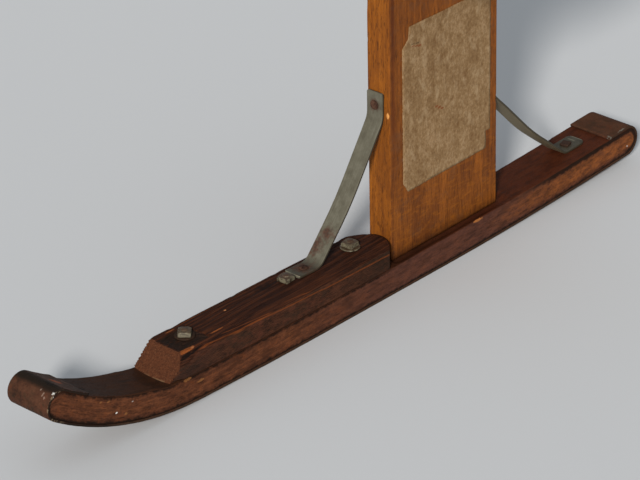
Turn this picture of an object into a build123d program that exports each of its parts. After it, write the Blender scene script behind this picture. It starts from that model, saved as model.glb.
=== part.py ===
"""One-runner stool sled: an upturned wooden runner with an iron shoe, a bolted block, a braced post and a seat.

Millimetres, +X forward towards the upturned tip, +Y left, +Z up.
The origin is on the ground, in the middle of the flat stretch of the sole that the sled stands on.
"""

from build123d import *
from math import asin, atan2, cos, hypot, radians, sin, sqrt
import os

os.makedirs("parts", exist_ok=True)

# Runner
runner_width = 66.0
runner_low_depth = 34.5
runner_low_x = 53.0
runner_top_radius = 10100.0
flat_length = 190.0
rocker_radius = 6300.0
upturn_start = 320.0
upturn_radius = 434.0
tip_angle = 34.3
heel_x = -498.5
runner_edge_chamfer = 1.2

# Iron shoe: a band under the sole, wrapped round both ends
shoe_thick = 3.0
toe_wrap = 40.0
heel_wrap = 38.0

# Post
post_x = -145.0
post_width = 203.0
post_thick = 35.5
post_y = -2.2
post_edge_round = 1.2

# Block on the runner, in front of the post
block_length = 374.0
block_rear_height = 27.5
block_front_height = 28.5
block_end_slope = 31.0
block_heel_bulge = 28.0
block_heel_skew = 6.0
block_heel_crown = 1.1
block_edge_round = 2.2
block_gap = 0.3

# Gouged pocket round the front nut and the split-off corner of the block
pocket_y = -3.5
pocket_half_width = 20.0
pocket_back = 15.0
pocket_depth = 4.0
pocket_mouth_depth = 0.8
chip_length = 50.0
chip_width = 15.5
chip_depth = 19.0

# Bolts of the block: x along the runner and y to the left, and the turns of their nuts in degrees
bolt_spots = {"front": (295.5, -10.0), "middle": (121.0, -9.0), "rear": (6.0, -8.0)}
nut_turns = {"front": 35.0, "middle": 6.0, "rear": 6.0}
bolt_radius = 4.75
bolt_clearance = 0.35
bolt_head_radius = 9.5
bolt_head_depth = 5.0
bolt_head_inset = 0.5
bolt_stub = 2.5
nut_size = 16.0
nut_height = 6.5
nut_chamfer = 1.2
seat_gap = 0.05
washer_radius = 12.7
washer_thick = 2.0

# Strap braces
strap_thick = 3.0
strap_corner = 3.0
front_strap_width = 25.5
front_strap_y = -5.9
front_strap_drift = -0.037
front_strap_top = 262.0
front_strap_bend_z = 216.0
front_strap_bend_radius = 60.0
front_strap_knee_share = 0.53
front_strap_sag = 10.0
front_strap_knee_radius = 420.0
front_strap_heel_x = 71.0
front_strap_toe_x = 107.5
rear_strap_width = 27.0
rear_strap_y = -2.0
rear_strap_top = 232.0
rear_strap_bend_z = 185.0
rear_strap_bend_radius = 12.0
rear_strap_knee_share = 0.53
rear_strap_sag = 8.5
rear_strap_knee_radius = 400.0
rear_strap_heel_reach = 105.5
rear_strap_toe_reach = 65.0
foot_bend_radius = 18.0

# Screws of the straps and the square-headed bolt in the rear foot
screw_head_radius = 6.3
screw_head_height = 2.6
screw_head_round = 0.7
screw_shank_radius = 2.6
screw_length = 24.0
screw_clearance = 0.2
front_post_screw_z = 242.0
front_foot_screw_x = 88.0
rear_post_screw_z = 212.0
rear_foot_bolt_reach = 89.0
foot_bolt_head = 12.0
foot_bolt_height = 3.5
foot_bolt_turn = 12.0
foot_bolt_chamfer = 1.2
rear_toe_round = 7.0

# Seat board and the cleats that carry it
seat_top_z = 465.0
seat_thick = 20.0
seat_length = 228.0
seat_width = 340.0
seat_corner_radius = 24.0
seat_edge_round = 4.0
seat_edge_chamfer = 1.5
cleat_height = 36.0
cleat_thick = 28.0
cleat_end_gap = 6.0
cleat_end_slope = 14.0
seat_screw_head = 4.2
seat_screw_shank = 2.2
seat_screw_length = 40.0
seat_screw_spacing = 130.0
cleat_screw_spacing = 110.0
cleat_screw_drop = 19.0
cleat_screw_length = 42.0

# Paper patch on the left face of the post, with its torn corners
patch_thick = 0.8
patch_front_x = -67.0
patch_rear_x = -233.5
patch_bottom_z = 119.0
patch_top_z = 341.0
patch_top_tear = (13.0, 26.0)
patch_bottom_tear = (9.0, 14.0)
patch_heel_tear = (8.5, 28.0)
patch_bottom_slope = 4.0

# Flush screws of the shoe, and how far below the sole the sunk holes start
sunk_hole_start = 1.0
shoe_screw_radius = 5.0
shoe_screw_shank = 2.2
shoe_screw_length = 22.0
shoe_screw_inset = 0.4
shoe_screw_row = 17.0
shoe_screw_places = (-430.0, -300.0, -190.0, -60.0, 70.0, 215.0)


def around(center, radius, angle):
    """Point about a centre, at an angle from straight down that is positive towards the tip."""
    return (center[0] + radius * sin(angle), center[1] - radius * cos(angle))


def runner_top(x):
    """Height of the runner's top behind the upturn."""
    low = shoe_thick + runner_low_depth
    return low + runner_top_radius - sqrt(runner_top_radius**2 - (x - runner_low_x) ** 2)


def runner_sole(x):
    """Height of the shoe's underside behind the upturn."""
    reach = max(abs(x) - flat_end, 0.0)
    return rocker_radius - sqrt(rocker_radius**2 - reach**2)


def patch_point(x, z):
    """Point of the patch's outline on the plane of the post's left face, whose second axis points down."""
    return (x, -z)


def block_top(x):
    """Height of the block's straight top."""
    share = (x - block_rear_x) / block_length
    return block_rear_z + share * (block_front_z - block_rear_z)


# Places worked out from the driving sizes
half_width = runner_width / 2
bolt_hole_radius = bolt_radius + bolt_clearance
screw_hole_radius = screw_shank_radius + screw_clearance
seat_screw_hole_radius = seat_screw_shank + screw_clearance
flat_end = flat_length / 2
post_front_x = post_x + post_width / 2
post_rear_x = post_x - post_width / 2
post_left_y = post_y + post_thick / 2
post_right_y = post_y - post_thick / 2
block_rear_x = post_front_x + block_gap
block_front_x = block_rear_x + block_length
block_rear_z = runner_top(block_rear_x) + block_rear_height
block_front_z = runner_top(upturn_start) + block_front_height
seat_bottom_z = seat_top_z - seat_thick
inside_z = shoe_thick + runner_low_depth / 2
front_foot_y = front_strap_y + front_strap_drift * (front_foot_screw_x - post_front_x)
rear_strap_heel_x = heel_x + rear_strap_heel_reach
rear_strap_toe_x = heel_x + rear_strap_toe_reach
rear_foot_bolt_x = heel_x + rear_foot_bolt_reach

# Planes that the screws' heads sit on, standing out of the wood and the strap
block_lean = (block_front_z - block_rear_z) / block_length
rear_foot_lean = (rear_foot_bolt_x - runner_low_x) / runner_top_radius
front_foot_place = Plane(
    origin=(front_foot_screw_x, front_foot_y, block_top(front_foot_screw_x) + strap_thick + 2 * seat_gap),
    z_dir=(-block_lean, 0, 1),
)
rear_foot_place = Plane(
    origin=(rear_foot_bolt_x, rear_strap_y, runner_top(rear_foot_bolt_x) + strap_thick + 2 * seat_gap),
    z_dir=(-rear_foot_lean, 0, 1),
)
front_post_place = Plane(
    origin=(post_front_x + strap_thick, front_strap_y, front_post_screw_z), z_dir=(1, 0, 0)
)
rear_post_place = Plane(
    origin=(post_rear_x - strap_thick, rear_strap_y, rear_post_screw_z), z_dir=(-1, 0, 0)
)
cleat_screw_places = []
for wall_y, facing in ((post_left_y, 1), (post_right_y, -1)):
    for reach in (-cleat_screw_spacing / 2, cleat_screw_spacing / 2):
        cleat_screw_places.append(
            Plane(
                origin=(post_x + reach, wall_y + facing * cleat_thick, seat_bottom_z - cleat_screw_drop),
                z_dir=(0, facing, 0),
            )
        )
seat_screw_spots = []
for wall_y, facing in ((post_left_y, 1), (post_right_y, -1)):
    for reach in (-seat_screw_spacing / 2, seat_screw_spacing / 2):
        seat_screw_spots.append((post_x + reach, wall_y + facing * cleat_thick / 2))

# Centres and angles of the runner's arcs
front_rocker = (flat_end, rocker_radius)
rear_rocker = (-flat_end, rocker_radius)
start_angle = asin((upturn_start - flat_end) / rocker_radius)
heel_angle = asin((heel_x + flat_end) / rocker_radius)
end_angle = radians(tip_angle)
wood_rocker = rocker_radius - shoe_thick
wood_upturn = upturn_radius - shoe_thick
sole_break = around(front_rocker, rocker_radius, start_angle)
upturn_center = around(sole_break, -upturn_radius, start_angle)
top_break = (upturn_start, runner_top(upturn_start))
top_break_angle = atan2(top_break[0] - upturn_center[0], upturn_center[1] - top_break[1])
inner_upturn = hypot(top_break[0] - upturn_center[0], upturn_center[1] - top_break[1])
tip_radius = (wood_upturn - inner_upturn) / 2
tip_center = around(upturn_center, inner_upturn + tip_radius, end_angle)
tip_end = (tip_center[0] + tip_radius * cos(end_angle), tip_center[1] + tip_radius * sin(end_angle))
heel_bottom = around(rear_rocker, wood_rocker, heel_angle)
heel_top_x = heel_x - runner_low_depth * sin(heel_angle)
heel_top = (heel_top_x, runner_top(heel_top_x))
heel_radius = hypot(heel_top[0] - heel_bottom[0], heel_top[1] - heel_bottom[1]) / 2
heel_center = ((heel_bottom[0] + heel_top[0]) / 2, (heel_bottom[1] + heel_top[1]) / 2)
heel_end = (
    heel_center[0] - heel_radius * cos(heel_angle),
    heel_center[1] - heel_radius * sin(heel_angle),
)
top_middle_x = (heel_top[0] + top_break[0]) / 2

# Outline of the runner seen from its side: sole from heel to tip, nose, then the top back to the heel
with BuildSketch(Plane.XZ) as runner_outline:
    with BuildLine():
        heel_middle = around(rear_rocker, wood_rocker, heel_angle / 2)
        flat_rear = around(rear_rocker, wood_rocker, 0.0)
        flat_front = around(front_rocker, wood_rocker, 0.0)
        front_middle = around(front_rocker, wood_rocker, start_angle / 2)
        upturn_bottom = around(front_rocker, wood_rocker, start_angle)
        upturn_middle = around(upturn_center, wood_upturn, (start_angle + end_angle) / 2)
        tip_bottom = around(upturn_center, wood_upturn, end_angle)
        tip_top = around(upturn_center, inner_upturn, end_angle)
        hollow_middle = around(upturn_center, inner_upturn, (top_break_angle + end_angle) / 2)
        ThreePointArc(heel_bottom, heel_middle, flat_rear)
        Line(flat_rear, flat_front)
        ThreePointArc(flat_front, front_middle, upturn_bottom)
        ThreePointArc(upturn_bottom, upturn_middle, tip_bottom)
        ThreePointArc(tip_bottom, tip_end, tip_top)
        ThreePointArc(tip_top, hollow_middle, top_break)
        ThreePointArc(top_break, (top_middle_x, runner_top(top_middle_x)), heel_top)
        ThreePointArc(heel_top, heel_end, heel_bottom)
    make_face()

# The band's outline is the runner's, grown by the band, less the runner and less the stretch left open on top
toe_wrap_angle = end_angle - toe_wrap / inner_upturn
toe_wrap_inner = around(upturn_center, inner_upturn + tip_radius, toe_wrap_angle)
toe_wrap_outer = around(upturn_center, inner_upturn - 4 * shoe_thick, toe_wrap_angle)
heel_wrap_x = heel_top[0] + heel_wrap
open_top_z = toe_wrap_outer[1] + runner_low_depth
with BuildSketch(Plane.XZ) as shoe_outline:
    add(runner_outline.sketch)
    offset(amount=shoe_thick, kind=Kind.ARC)
    add(runner_outline.sketch, mode=Mode.SUBTRACT)
    with BuildLine():
        Polyline(
            (heel_wrap_x, inside_z + runner_sole(heel_wrap_x)),
            (-flat_end, inside_z),
            (upturn_start, inside_z + runner_sole(upturn_start)),
            toe_wrap_inner,
            toe_wrap_outer,
            (toe_wrap_outer[0], open_top_z),
            (heel_wrap_x, open_top_z),
            close=True,
        )
    make_face(mode=Mode.SUBTRACT)


# Places of the shoe's screws, by turns near its right and its left edge
shoe_screw_spots = []
for number, place in enumerate(shoe_screw_places):
    side = shoe_screw_row if number % 2 else -shoe_screw_row
    shoe_screw_spots.append((place, side))
shoe_screw_cone = shoe_screw_radius - shoe_screw_shank


def cut_sunk_hole(x, y, head_radius, shank_radius, head_depth, depth):
    """Cut a hole up from the sole whose sunk cone flares on past the sole."""
    flare = (head_radius - shank_radius) / head_depth
    with Locations((x, y, runner_sole(x) - sunk_hole_start)):
        Cone(
            head_radius + flare * sunk_hole_start,
            shank_radius,
            head_depth + sunk_hole_start,
            align=(Align.CENTER, Align.CENTER, Align.MIN),
            mode=Mode.SUBTRACT,
        )
        Cylinder(
            shank_radius,
            depth + sunk_hole_start,
            align=(Align.CENTER, Align.CENTER, Align.MIN),
            mode=Mode.SUBTRACT,
        )


def cut_from_below():
    """Cut the sunk holes of the block's bolts and of the shoe's screws."""
    bolt_flare = (bolt_head_radius - bolt_radius) / bolt_head_depth
    for x, y in bolt_spots.values():
        cut_sunk_hole(
            x,
            y,
            bolt_head_radius + bolt_clearance + bolt_head_inset * bolt_flare,
            bolt_hole_radius,
            bolt_head_depth + bolt_head_inset,
            block_front_z,
        )
    for x, y in shoe_screw_spots:
        cut_sunk_hole(
            x,
            y,
            shoe_screw_radius + screw_clearance + shoe_screw_inset,
            shoe_screw_shank + screw_clearance,
            shoe_screw_cone + shoe_screw_inset,
            shoe_screw_length + shoe_screw_inset + screw_clearance,
        )


with BuildPart() as runner:
    extrude(runner_outline.sketch, amount=half_width, both=True)
    chamfer(runner.faces().filter_by(Axis.Y).edges(), length=runner_edge_chamfer)
    cut_from_below()
    with BuildSketch(rear_foot_place):
        Circle(screw_hole_radius)
    extrude(amount=screw_length, both=True, mode=Mode.SUBTRACT)
runner.part.label = "runner"
export_step(runner.part, "parts/runner.step")

with BuildPart() as runner_shoe:
    extrude(shoe_outline.sketch, amount=half_width, both=True)
    cut_from_below()
runner_shoe.part.label = "runner_shoe"
export_step(runner_shoe.part, "parts/runner_shoe.step")

# Block: its underside follows the runner, its front end is a sloped saw cut, its rear end is rounded in plan
block_slope_run = block_end_slope * (block_front_z - inside_z) / block_front_height
with BuildSketch(Plane.XZ) as block_outline:
    with BuildLine():
        Polyline(
            (block_rear_x, inside_z),
            (block_rear_x, block_rear_z),
            (block_front_x, block_front_z),
            (block_front_x + block_slope_run, inside_z),
            close=True,
        )
    make_face()
    add(runner_outline.sketch, mode=Mode.SUBTRACT)

block_reach = block_front_x + block_slope_run
with BuildSketch(Plane.XY) as block_plan:
    with BuildLine():
        right_heel = (block_rear_x + block_heel_bulge + block_heel_skew, -half_width)
        left_heel = (block_rear_x + block_heel_bulge - block_heel_skew, half_width)
        ThreePointArc(right_heel, (block_rear_x, block_heel_crown), left_heel)
        Polyline(left_heel, (block_reach, half_width), (block_reach, -half_width), right_heel)
    make_face()

saw_plane = Plane(
    origin=(block_front_x, 0, block_front_z),
    z_dir=(block_front_height, 0, block_end_slope),
)
pocket_x = bolt_spots["front"][0]
pocket_left_y = pocket_y + pocket_half_width
pocket_rear_x = pocket_x - pocket_back
pocket_floor_z = block_top(pocket_x) - pocket_depth
with BuildSketch(Plane.XZ) as pocket_outline:
    with BuildLine():
        Polyline(
            (pocket_rear_x, block_front_z + pocket_depth),
            (pocket_rear_x, pocket_floor_z),
            (pocket_x + nut_size, pocket_floor_z),
            (block_front_x, block_front_z - pocket_mouth_depth),
            (block_reach, block_front_z - pocket_mouth_depth),
            (block_reach, block_front_z + pocket_depth),
            close=True,
        )
    make_face()

# The chip's plane meets the saw cut from the top, a chip's width in, down to its depth on the left side
chip_front_x = block_front_x + chip_depth * block_end_slope / block_front_height
chip_rear_x = block_front_x - chip_length
chip_points = (
    Vector(block_front_x, half_width - chip_width, block_front_z),
    Vector(chip_front_x, half_width, block_front_z - chip_depth),
    Vector(chip_rear_x, half_width, block_top(chip_rear_x)),
)
chip_normal = (chip_points[1] - chip_points[0]).cross(chip_points[2] - chip_points[0])
chip_plane = Plane(origin=chip_points[0], z_dir=-chip_normal if chip_normal.Z < 0 else chip_normal)

with BuildPart() as front_block:
    extrude(block_outline.sketch, amount=half_width, both=True)
    extrude(block_plan.sketch, amount=block_front_z + block_front_height, mode=Mode.INTERSECT)
    long_edges = front_block.faces().sort_by(Axis.Z)[-1].edges().filter_by(GeomType.LINE)
    fillet([edge for edge in long_edges if edge.length > block_length / 2], radius=block_edge_round)
    with BuildSketch(saw_plane):
        Rectangle(4 * runner_width, 4 * runner_width)
    extrude(amount=2 * block_end_slope, mode=Mode.SUBTRACT)
    with BuildSketch(chip_plane):
        Rectangle(4 * chip_length, 4 * chip_length)
    extrude(amount=2 * chip_width, mode=Mode.SUBTRACT)
    extrude(
        pocket_outline.sketch.moved(Location((0, pocket_left_y, 0))),
        amount=2 * pocket_half_width,
        mode=Mode.SUBTRACT,
    )
    for x, y in bolt_spots.values():
        with Locations((x, y, runner_top(x))):
            Cylinder(bolt_hole_radius, 3 * block_front_height, mode=Mode.SUBTRACT)
    with BuildSketch(front_foot_place):
        Circle(screw_hole_radius)
    extrude(amount=screw_length, both=True, mode=Mode.SUBTRACT)
front_block.part.label = "front_block"
export_step(front_block.part, "parts/front_block.step")

# Post: a board on edge whose foot follows the runner's top
with BuildSketch(Plane.XZ) as post_outline:
    with BuildLine():
        Polyline(
            (post_rear_x, inside_z),
            (post_front_x, inside_z),
            (post_front_x, seat_bottom_z),
            (post_rear_x, seat_bottom_z),
            close=True,
        )
    make_face()
    add(runner_outline.sketch, mode=Mode.SUBTRACT)

with BuildPart() as post:
    extrude(post_outline.sketch.moved(Location((0, post_left_y, 0))), amount=post_thick)
    fillet(post.edges().filter_by(Axis.Z), radius=post_edge_round)
    for place in (front_post_place, rear_post_place):
        with BuildSketch(place):
            Circle(screw_hole_radius)
        extrude(amount=-screw_length, mode=Mode.SUBTRACT)
    for place in cleat_screw_places:
        with BuildSketch(place):
            Circle(seat_screw_hole_radius)
        extrude(amount=-cleat_screw_length, mode=Mode.SUBTRACT)
post.part.label = "post"
export_step(post.part, "parts/post.step")


def strap_path(wall_x, top_z, bend_z, knee_share, sag, heel, toe, radii):
    """Centre line of a strap: down the post, out in a bow that sags at its knee, then along its foot."""
    knee_x = wall_x + knee_share * (heel[0] - wall_x)
    knee_z = bend_z + knee_share * (heel[1] - bend_z) - sag
    with BuildLine(Plane.XZ) as path:
        FilletPolyline((wall_x, top_z), (wall_x, bend_z), (knee_x, knee_z), heel, toe, radius=radii)
    return path.line


half_strap = strap_thick / 2
front_wall_x = post_front_x + half_strap
rear_wall_x = post_rear_x - half_strap
foot_rise = half_strap + seat_gap
front_heel = (front_strap_heel_x, block_top(front_strap_heel_x) + foot_rise)
front_toe = (front_strap_toe_x, block_top(front_strap_toe_x) + foot_rise)
rear_heel = (rear_strap_heel_x, runner_top(rear_strap_heel_x) + foot_rise)
rear_toe = (rear_strap_toe_x, runner_top(rear_strap_toe_x) + foot_rise)

# Front strap: it drifts to the right on its way down, and its top and toe corners are clipped
front_radii = (front_strap_bend_radius, front_strap_knee_radius, foot_bend_radius)
front_line = strap_path(
    front_wall_x,
    front_strap_top,
    front_strap_bend_z,
    front_strap_knee_share,
    front_strap_sag,
    front_heel,
    front_toe,
    front_radii,
)


def strap_edge(x, side):
    """Place of the front strap's left or right edge above the runner."""
    middle = front_strap_y + front_strap_drift * (x - post_front_x)
    return (x, middle + side * front_strap_width / 2)


with BuildPart() as front_brace:
    with BuildSketch(Plane(origin=front_line @ 0, z_dir=front_line % 0)):
        Rectangle(strap_thick, 2 * front_strap_width)
    sweep(path=front_line)
    with BuildSketch(Plane.XY) as front_strap_plan:
        Polygon(
            strap_edge(post_front_x - strap_thick, 1),
            strap_edge(post_front_x - strap_thick, -1),
            strap_edge(front_strap_toe_x + strap_thick, -1),
            strap_edge(front_strap_toe_x + strap_thick, 1),
            align=None,
        )
    extrude(amount=seat_top_z, mode=Mode.INTERSECT)
    top_corners = front_brace.faces().sort_by(Axis.Z)[-1].edges().sort_by(SortBy.LENGTH)[:2]
    toe_corners = front_brace.faces().sort_by(Axis.X)[-1].edges().sort_by(SortBy.LENGTH)[:2]
    chamfer(top_corners + toe_corners, length=strap_corner)
    for place in (front_post_place, front_foot_place):
        with BuildSketch(place):
            Circle(screw_hole_radius)
        extrude(amount=2 * strap_thick, both=True, mode=Mode.SUBTRACT)
front_brace.part.label = "front_brace"
export_step(front_brace.part, "parts/front_brace.step")

rear_radii = (rear_strap_bend_radius, rear_strap_knee_radius, foot_bend_radius)
rear_line = strap_path(
    rear_wall_x,
    rear_strap_top,
    rear_strap_bend_z,
    rear_strap_knee_share,
    rear_strap_sag,
    rear_heel,
    rear_toe,
    rear_radii,
)
with BuildPart() as rear_brace:
    with BuildSketch(Plane(origin=(rear_line @ 0) + (0, rear_strap_y, 0), z_dir=rear_line % 0)):
        Rectangle(strap_thick, rear_strap_width)
    sweep(path=rear_line.moved(Location((0, rear_strap_y, 0))))
    top_corners = rear_brace.faces().sort_by(Axis.Z)[-1].edges().sort_by(SortBy.LENGTH)[:2]
    chamfer(top_corners, length=strap_corner)
    toe_corners = rear_brace.faces().sort_by(Axis.X)[0].edges().sort_by(SortBy.LENGTH)[:2]
    fillet(toe_corners, radius=rear_toe_round)
    for place in (rear_post_place, rear_foot_place):
        with BuildSketch(place):
            Circle(screw_hole_radius)
        extrude(amount=2 * strap_thick, both=True, mode=Mode.SUBTRACT)
rear_brace.part.label = "rear_brace"
export_step(rear_brace.part, "parts/rear_brace.step")


def round_head_screw(place, head_radius, head_height, shank_radius, length):
    """Domed wood screw whose head sits on a plane and whose shank goes in behind it."""
    with BuildPart() as screw:
        with BuildSketch(place):
            Circle(head_radius)
        extrude(amount=head_height)
        outward = Axis(place.origin, place.z_dir)
        rim = screw.edges().filter_by(GeomType.CIRCLE).sort_by(outward)[-1]
        chamfer(rim, length=head_height * screw_head_round, length2=head_radius / 2)
        with BuildSketch(place):
            Circle(shank_radius)
        extrude(amount=head_height - length)
    return screw.part


# Screws that hold the straps
strap_screw_places = {
    "front_post_screw": front_post_place,
    "front_foot_screw": front_foot_place,
    "rear_post_screw": rear_post_place,
}
for name, place in strap_screw_places.items():
    screw = round_head_screw(place, screw_head_radius, screw_head_height, screw_shank_radius, screw_length)
    screw.label = name
    export_step(screw, f"parts/{name}.step")

with BuildPart() as rear_foot_bolt:
    with BuildSketch(rear_foot_place):
        Rectangle(foot_bolt_head, foot_bolt_head, rotation=foot_bolt_turn)
    extrude(amount=foot_bolt_height)
    chamfer(rear_foot_bolt.faces().sort_by(Axis.Z)[-1].edges(), length=foot_bolt_chamfer)
    with BuildSketch(rear_foot_place):
        Circle(screw_shank_radius)
    extrude(amount=foot_bolt_height - screw_length)
rear_foot_bolt.part.label = "rear_foot_bolt"
export_step(rear_foot_bolt.part, "parts/rear_foot_bolt.step")

# Bolts, washers and square nuts of the block
washer_heights = {
    "front": pocket_floor_z + seat_gap,
    "rear": block_top(bolt_spots["rear"][0] + washer_radius) + seat_gap,
}
for name, washer_z in washer_heights.items():
    with BuildPart() as washer:
        with Locations((*bolt_spots[name], washer_z)):
            Cylinder(washer_radius, washer_thick, align=(Align.CENTER, Align.CENTER, Align.MIN))
            Cylinder(bolt_hole_radius, 3 * washer_thick, mode=Mode.SUBTRACT)
    washer.part.label = f"{name}_washer"
    export_step(washer.part, f"parts/{name}_washer.step")

nut_heights = {"middle": block_top(bolt_spots["middle"][0] + nut_size) + seat_gap}
for name, washer_z in washer_heights.items():
    nut_heights[name] = washer_z + washer_thick + seat_gap
for name, (x, y) in bolt_spots.items():
    nut_z = nut_heights[name]
    with BuildPart() as nut:
        with BuildSketch(Plane.XY.offset(nut_z)):
            with Locations(Location((x, y, 0), (0, 0, nut_turns[name]))):
                Rectangle(nut_size, nut_size)
        extrude(amount=nut_height)
        chamfer(nut.faces().sort_by(Axis.Z)[-1].edges(), length=nut_chamfer)
        with Locations((x, y, nut_z)):
            Cylinder(bolt_hole_radius, 3 * nut_height, mode=Mode.SUBTRACT)
    nut.part.label = f"{name}_nut"
    export_step(nut.part, f"parts/{name}_nut.step")
    head_z = runner_sole(x) + bolt_head_inset
    with BuildPart() as bolt:
        with Locations((x, y, head_z)):
            Cone(
                bolt_head_radius,
                bolt_radius,
                bolt_head_depth,
                align=(Align.CENTER, Align.CENTER, Align.MIN),
            )
            Cylinder(
                bolt_radius,
                nut_z + nut_height + bolt_stub - head_z,
                align=(Align.CENTER, Align.CENTER, Align.MIN),
            )
    bolt.part.label = f"{name}_bolt"
    export_step(bolt.part, f"parts/{name}_bolt.step")

# Screws of the shoe, sunk flush into the sole
with BuildPart() as shoe_screws:
    for x, y in shoe_screw_spots:
        with Locations((x, y, runner_sole(x) + shoe_screw_inset)):
            Cone(
                shoe_screw_radius,
                shoe_screw_shank,
                shoe_screw_cone,
                align=(Align.CENTER, Align.CENTER, Align.MIN),
            )
            Cylinder(shoe_screw_shank, shoe_screw_length, align=(Align.CENTER, Align.CENTER, Align.MIN))
shoe_screws.part.label = "shoe_screws"
export_step(shoe_screws.part, "parts/shoe_screws.step")

# Paper patch glued on the post's left face, with torn corners
with BuildPart() as paper_patch:
    with BuildSketch(Plane(origin=(0, post_left_y, 0), x_dir=(1, 0, 0), z_dir=(0, 1, 0))):
        with BuildLine():
            Polyline(
                patch_point(patch_front_x, patch_bottom_z + patch_bottom_tear[1]),
                patch_point(patch_front_x, patch_top_z - patch_top_tear[1]),
                patch_point(patch_front_x - patch_top_tear[0], patch_top_z),
                patch_point(patch_rear_x, patch_top_z),
                patch_point(patch_rear_x, patch_bottom_z + patch_heel_tear[1]),
                patch_point(patch_rear_x + patch_heel_tear[0], patch_bottom_z + patch_heel_tear[1]),
                patch_point(patch_rear_x + patch_heel_tear[0], patch_bottom_z + patch_bottom_slope),
                patch_point(patch_front_x - patch_bottom_tear[0], patch_bottom_z),
                close=True,
            )
        make_face()
    extrude(amount=patch_thick)
paper_patch.part.label = "paper_patch"
export_step(paper_patch.part, "parts/paper_patch.step")

# Seat board with rounded corners
seat_screw_cone = seat_screw_head - seat_screw_shank
with BuildPart() as seat:
    with BuildSketch(Plane.XY.offset(seat_bottom_z)):
        with Locations((post_x, post_y)):
            RectangleRounded(seat_length, seat_width, seat_corner_radius)
    extrude(amount=seat_thick)
    fillet(seat.faces().sort_by(Axis.Z)[-1].edges(), radius=seat_edge_round)
    chamfer(seat.faces().sort_by(Axis.Z)[0].edges(), length=seat_edge_chamfer)
    for x, y in seat_screw_spots:
        with Locations((x, y, seat_top_z)):
            Cone(
                seat_screw_hole_radius,
                seat_screw_head + screw_clearance,
                seat_screw_cone,
                align=(Align.CENTER, Align.CENTER, Align.MAX),
                mode=Mode.SUBTRACT,
            )
            Cylinder(seat_screw_hole_radius, 3 * seat_thick, mode=Mode.SUBTRACT)
seat.part.label = "seat"
export_step(seat.part, "parts/seat.step")

with BuildPart() as seat_screws:
    for x, y in seat_screw_spots:
        with Locations((x, y, seat_top_z)):
            Cone(
                seat_screw_shank,
                seat_screw_head,
                seat_screw_cone,
                align=(Align.CENTER, Align.CENTER, Align.MAX),
            )
            Cylinder(seat_screw_shank, seat_screw_length, align=(Align.CENTER, Align.CENTER, Align.MAX))
seat_screws.part.label = "seat_screws"
export_step(seat_screws.part, "parts/seat_screws.step")

# Cleats along both faces of the post, with sloped ends
cleat_half = post_width / 2 - cleat_end_gap
cleat_bottom_z = seat_bottom_z - cleat_height
with BuildSketch(Plane.XZ) as cleat_outline:
    Polygon(
        (post_x - cleat_half, seat_bottom_z),
        (post_x - cleat_half + cleat_end_slope, cleat_bottom_z),
        (post_x + cleat_half - cleat_end_slope, cleat_bottom_z),
        (post_x + cleat_half, seat_bottom_z),
        align=None,
    )

for name, outer_y in (("cleat_left", post_left_y + cleat_thick), ("cleat_right", post_right_y)):
    with BuildPart() as cleat:
        extrude(cleat_outline.sketch.moved(Location((0, outer_y, 0))), amount=cleat_thick)
        for place in cleat_screw_places:
            with BuildSketch(place):
                Circle(seat_screw_hole_radius)
            extrude(amount=-cleat_screw_length, mode=Mode.SUBTRACT)
        for x, y in seat_screw_spots:
            with Locations((x, y, seat_top_z)):
                Cylinder(
                    seat_screw_hole_radius,
                    seat_screw_length + screw_clearance,
                    align=(Align.CENTER, Align.CENTER, Align.MAX),
                    mode=Mode.SUBTRACT,
                )
    cleat.part.label = name
    export_step(cleat.part, f"parts/{name}.step")

# Screws through the cleats into the post
cleat_screw_parts = []
for place in cleat_screw_places:
    cleat_screw_parts.append(
        round_head_screw(place, seat_screw_head, seat_screw_cone, seat_screw_shank, cleat_screw_length)
    )
with BuildPart() as cleat_screws:
    add(cleat_screw_parts)
cleat_screws.part.label = "cleat_screws"
export_step(cleat_screws.part, "parts/cleat_screws.step")
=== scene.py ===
import bpy
import math
from mathutils import Matrix, Vector, noise
from mathutils.geometry import delaunay_2d_cdt


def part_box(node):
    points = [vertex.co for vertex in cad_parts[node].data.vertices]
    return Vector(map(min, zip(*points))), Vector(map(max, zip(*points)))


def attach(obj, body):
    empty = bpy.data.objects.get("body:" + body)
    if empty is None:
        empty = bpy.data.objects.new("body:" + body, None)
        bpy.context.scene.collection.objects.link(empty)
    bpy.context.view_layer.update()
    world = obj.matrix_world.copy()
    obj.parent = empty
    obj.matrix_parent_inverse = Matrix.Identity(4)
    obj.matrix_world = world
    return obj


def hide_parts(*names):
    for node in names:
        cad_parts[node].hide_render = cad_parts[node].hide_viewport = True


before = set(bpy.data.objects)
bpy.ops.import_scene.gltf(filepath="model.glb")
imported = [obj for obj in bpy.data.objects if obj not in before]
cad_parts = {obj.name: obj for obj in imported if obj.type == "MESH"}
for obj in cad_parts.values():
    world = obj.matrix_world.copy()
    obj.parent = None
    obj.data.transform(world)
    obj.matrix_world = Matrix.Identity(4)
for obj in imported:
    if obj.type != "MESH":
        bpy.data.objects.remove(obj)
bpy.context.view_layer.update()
print("frame loaded:", len(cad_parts), "nodes")


# Node helpers

def feed(tree, socket, value):
    if isinstance(value, bpy.types.NodeSocket):
        tree.links.new(value, socket)
    else:
        socket.default_value = value


def addNode(tree, kind, values=None, **settings):
    made = tree.nodes.new("ShaderNode" + kind)
    for name, value in settings.items():
        setattr(made, name, value)
    for key, value in (values or {}).items():
        feed(tree, made.inputs[key], value)
    return made


def color(red, green, blue):
    # sRGB values from 0 to 255, as a paint chart gives them
    def linear(value):
        share = value / 255
        return share / 12.92 if share <= 0.04045 else ((share + 0.055) / 1.055) ** 2.4
    return (linear(red), linear(green), linear(blue), 1.0)


def compute(tree, operation, first, second=0.0, clamp=False):
    return addNode(tree, "Math", {0: first, 1: second}, operation=operation, use_clamp=clamp).outputs[0]


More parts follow.
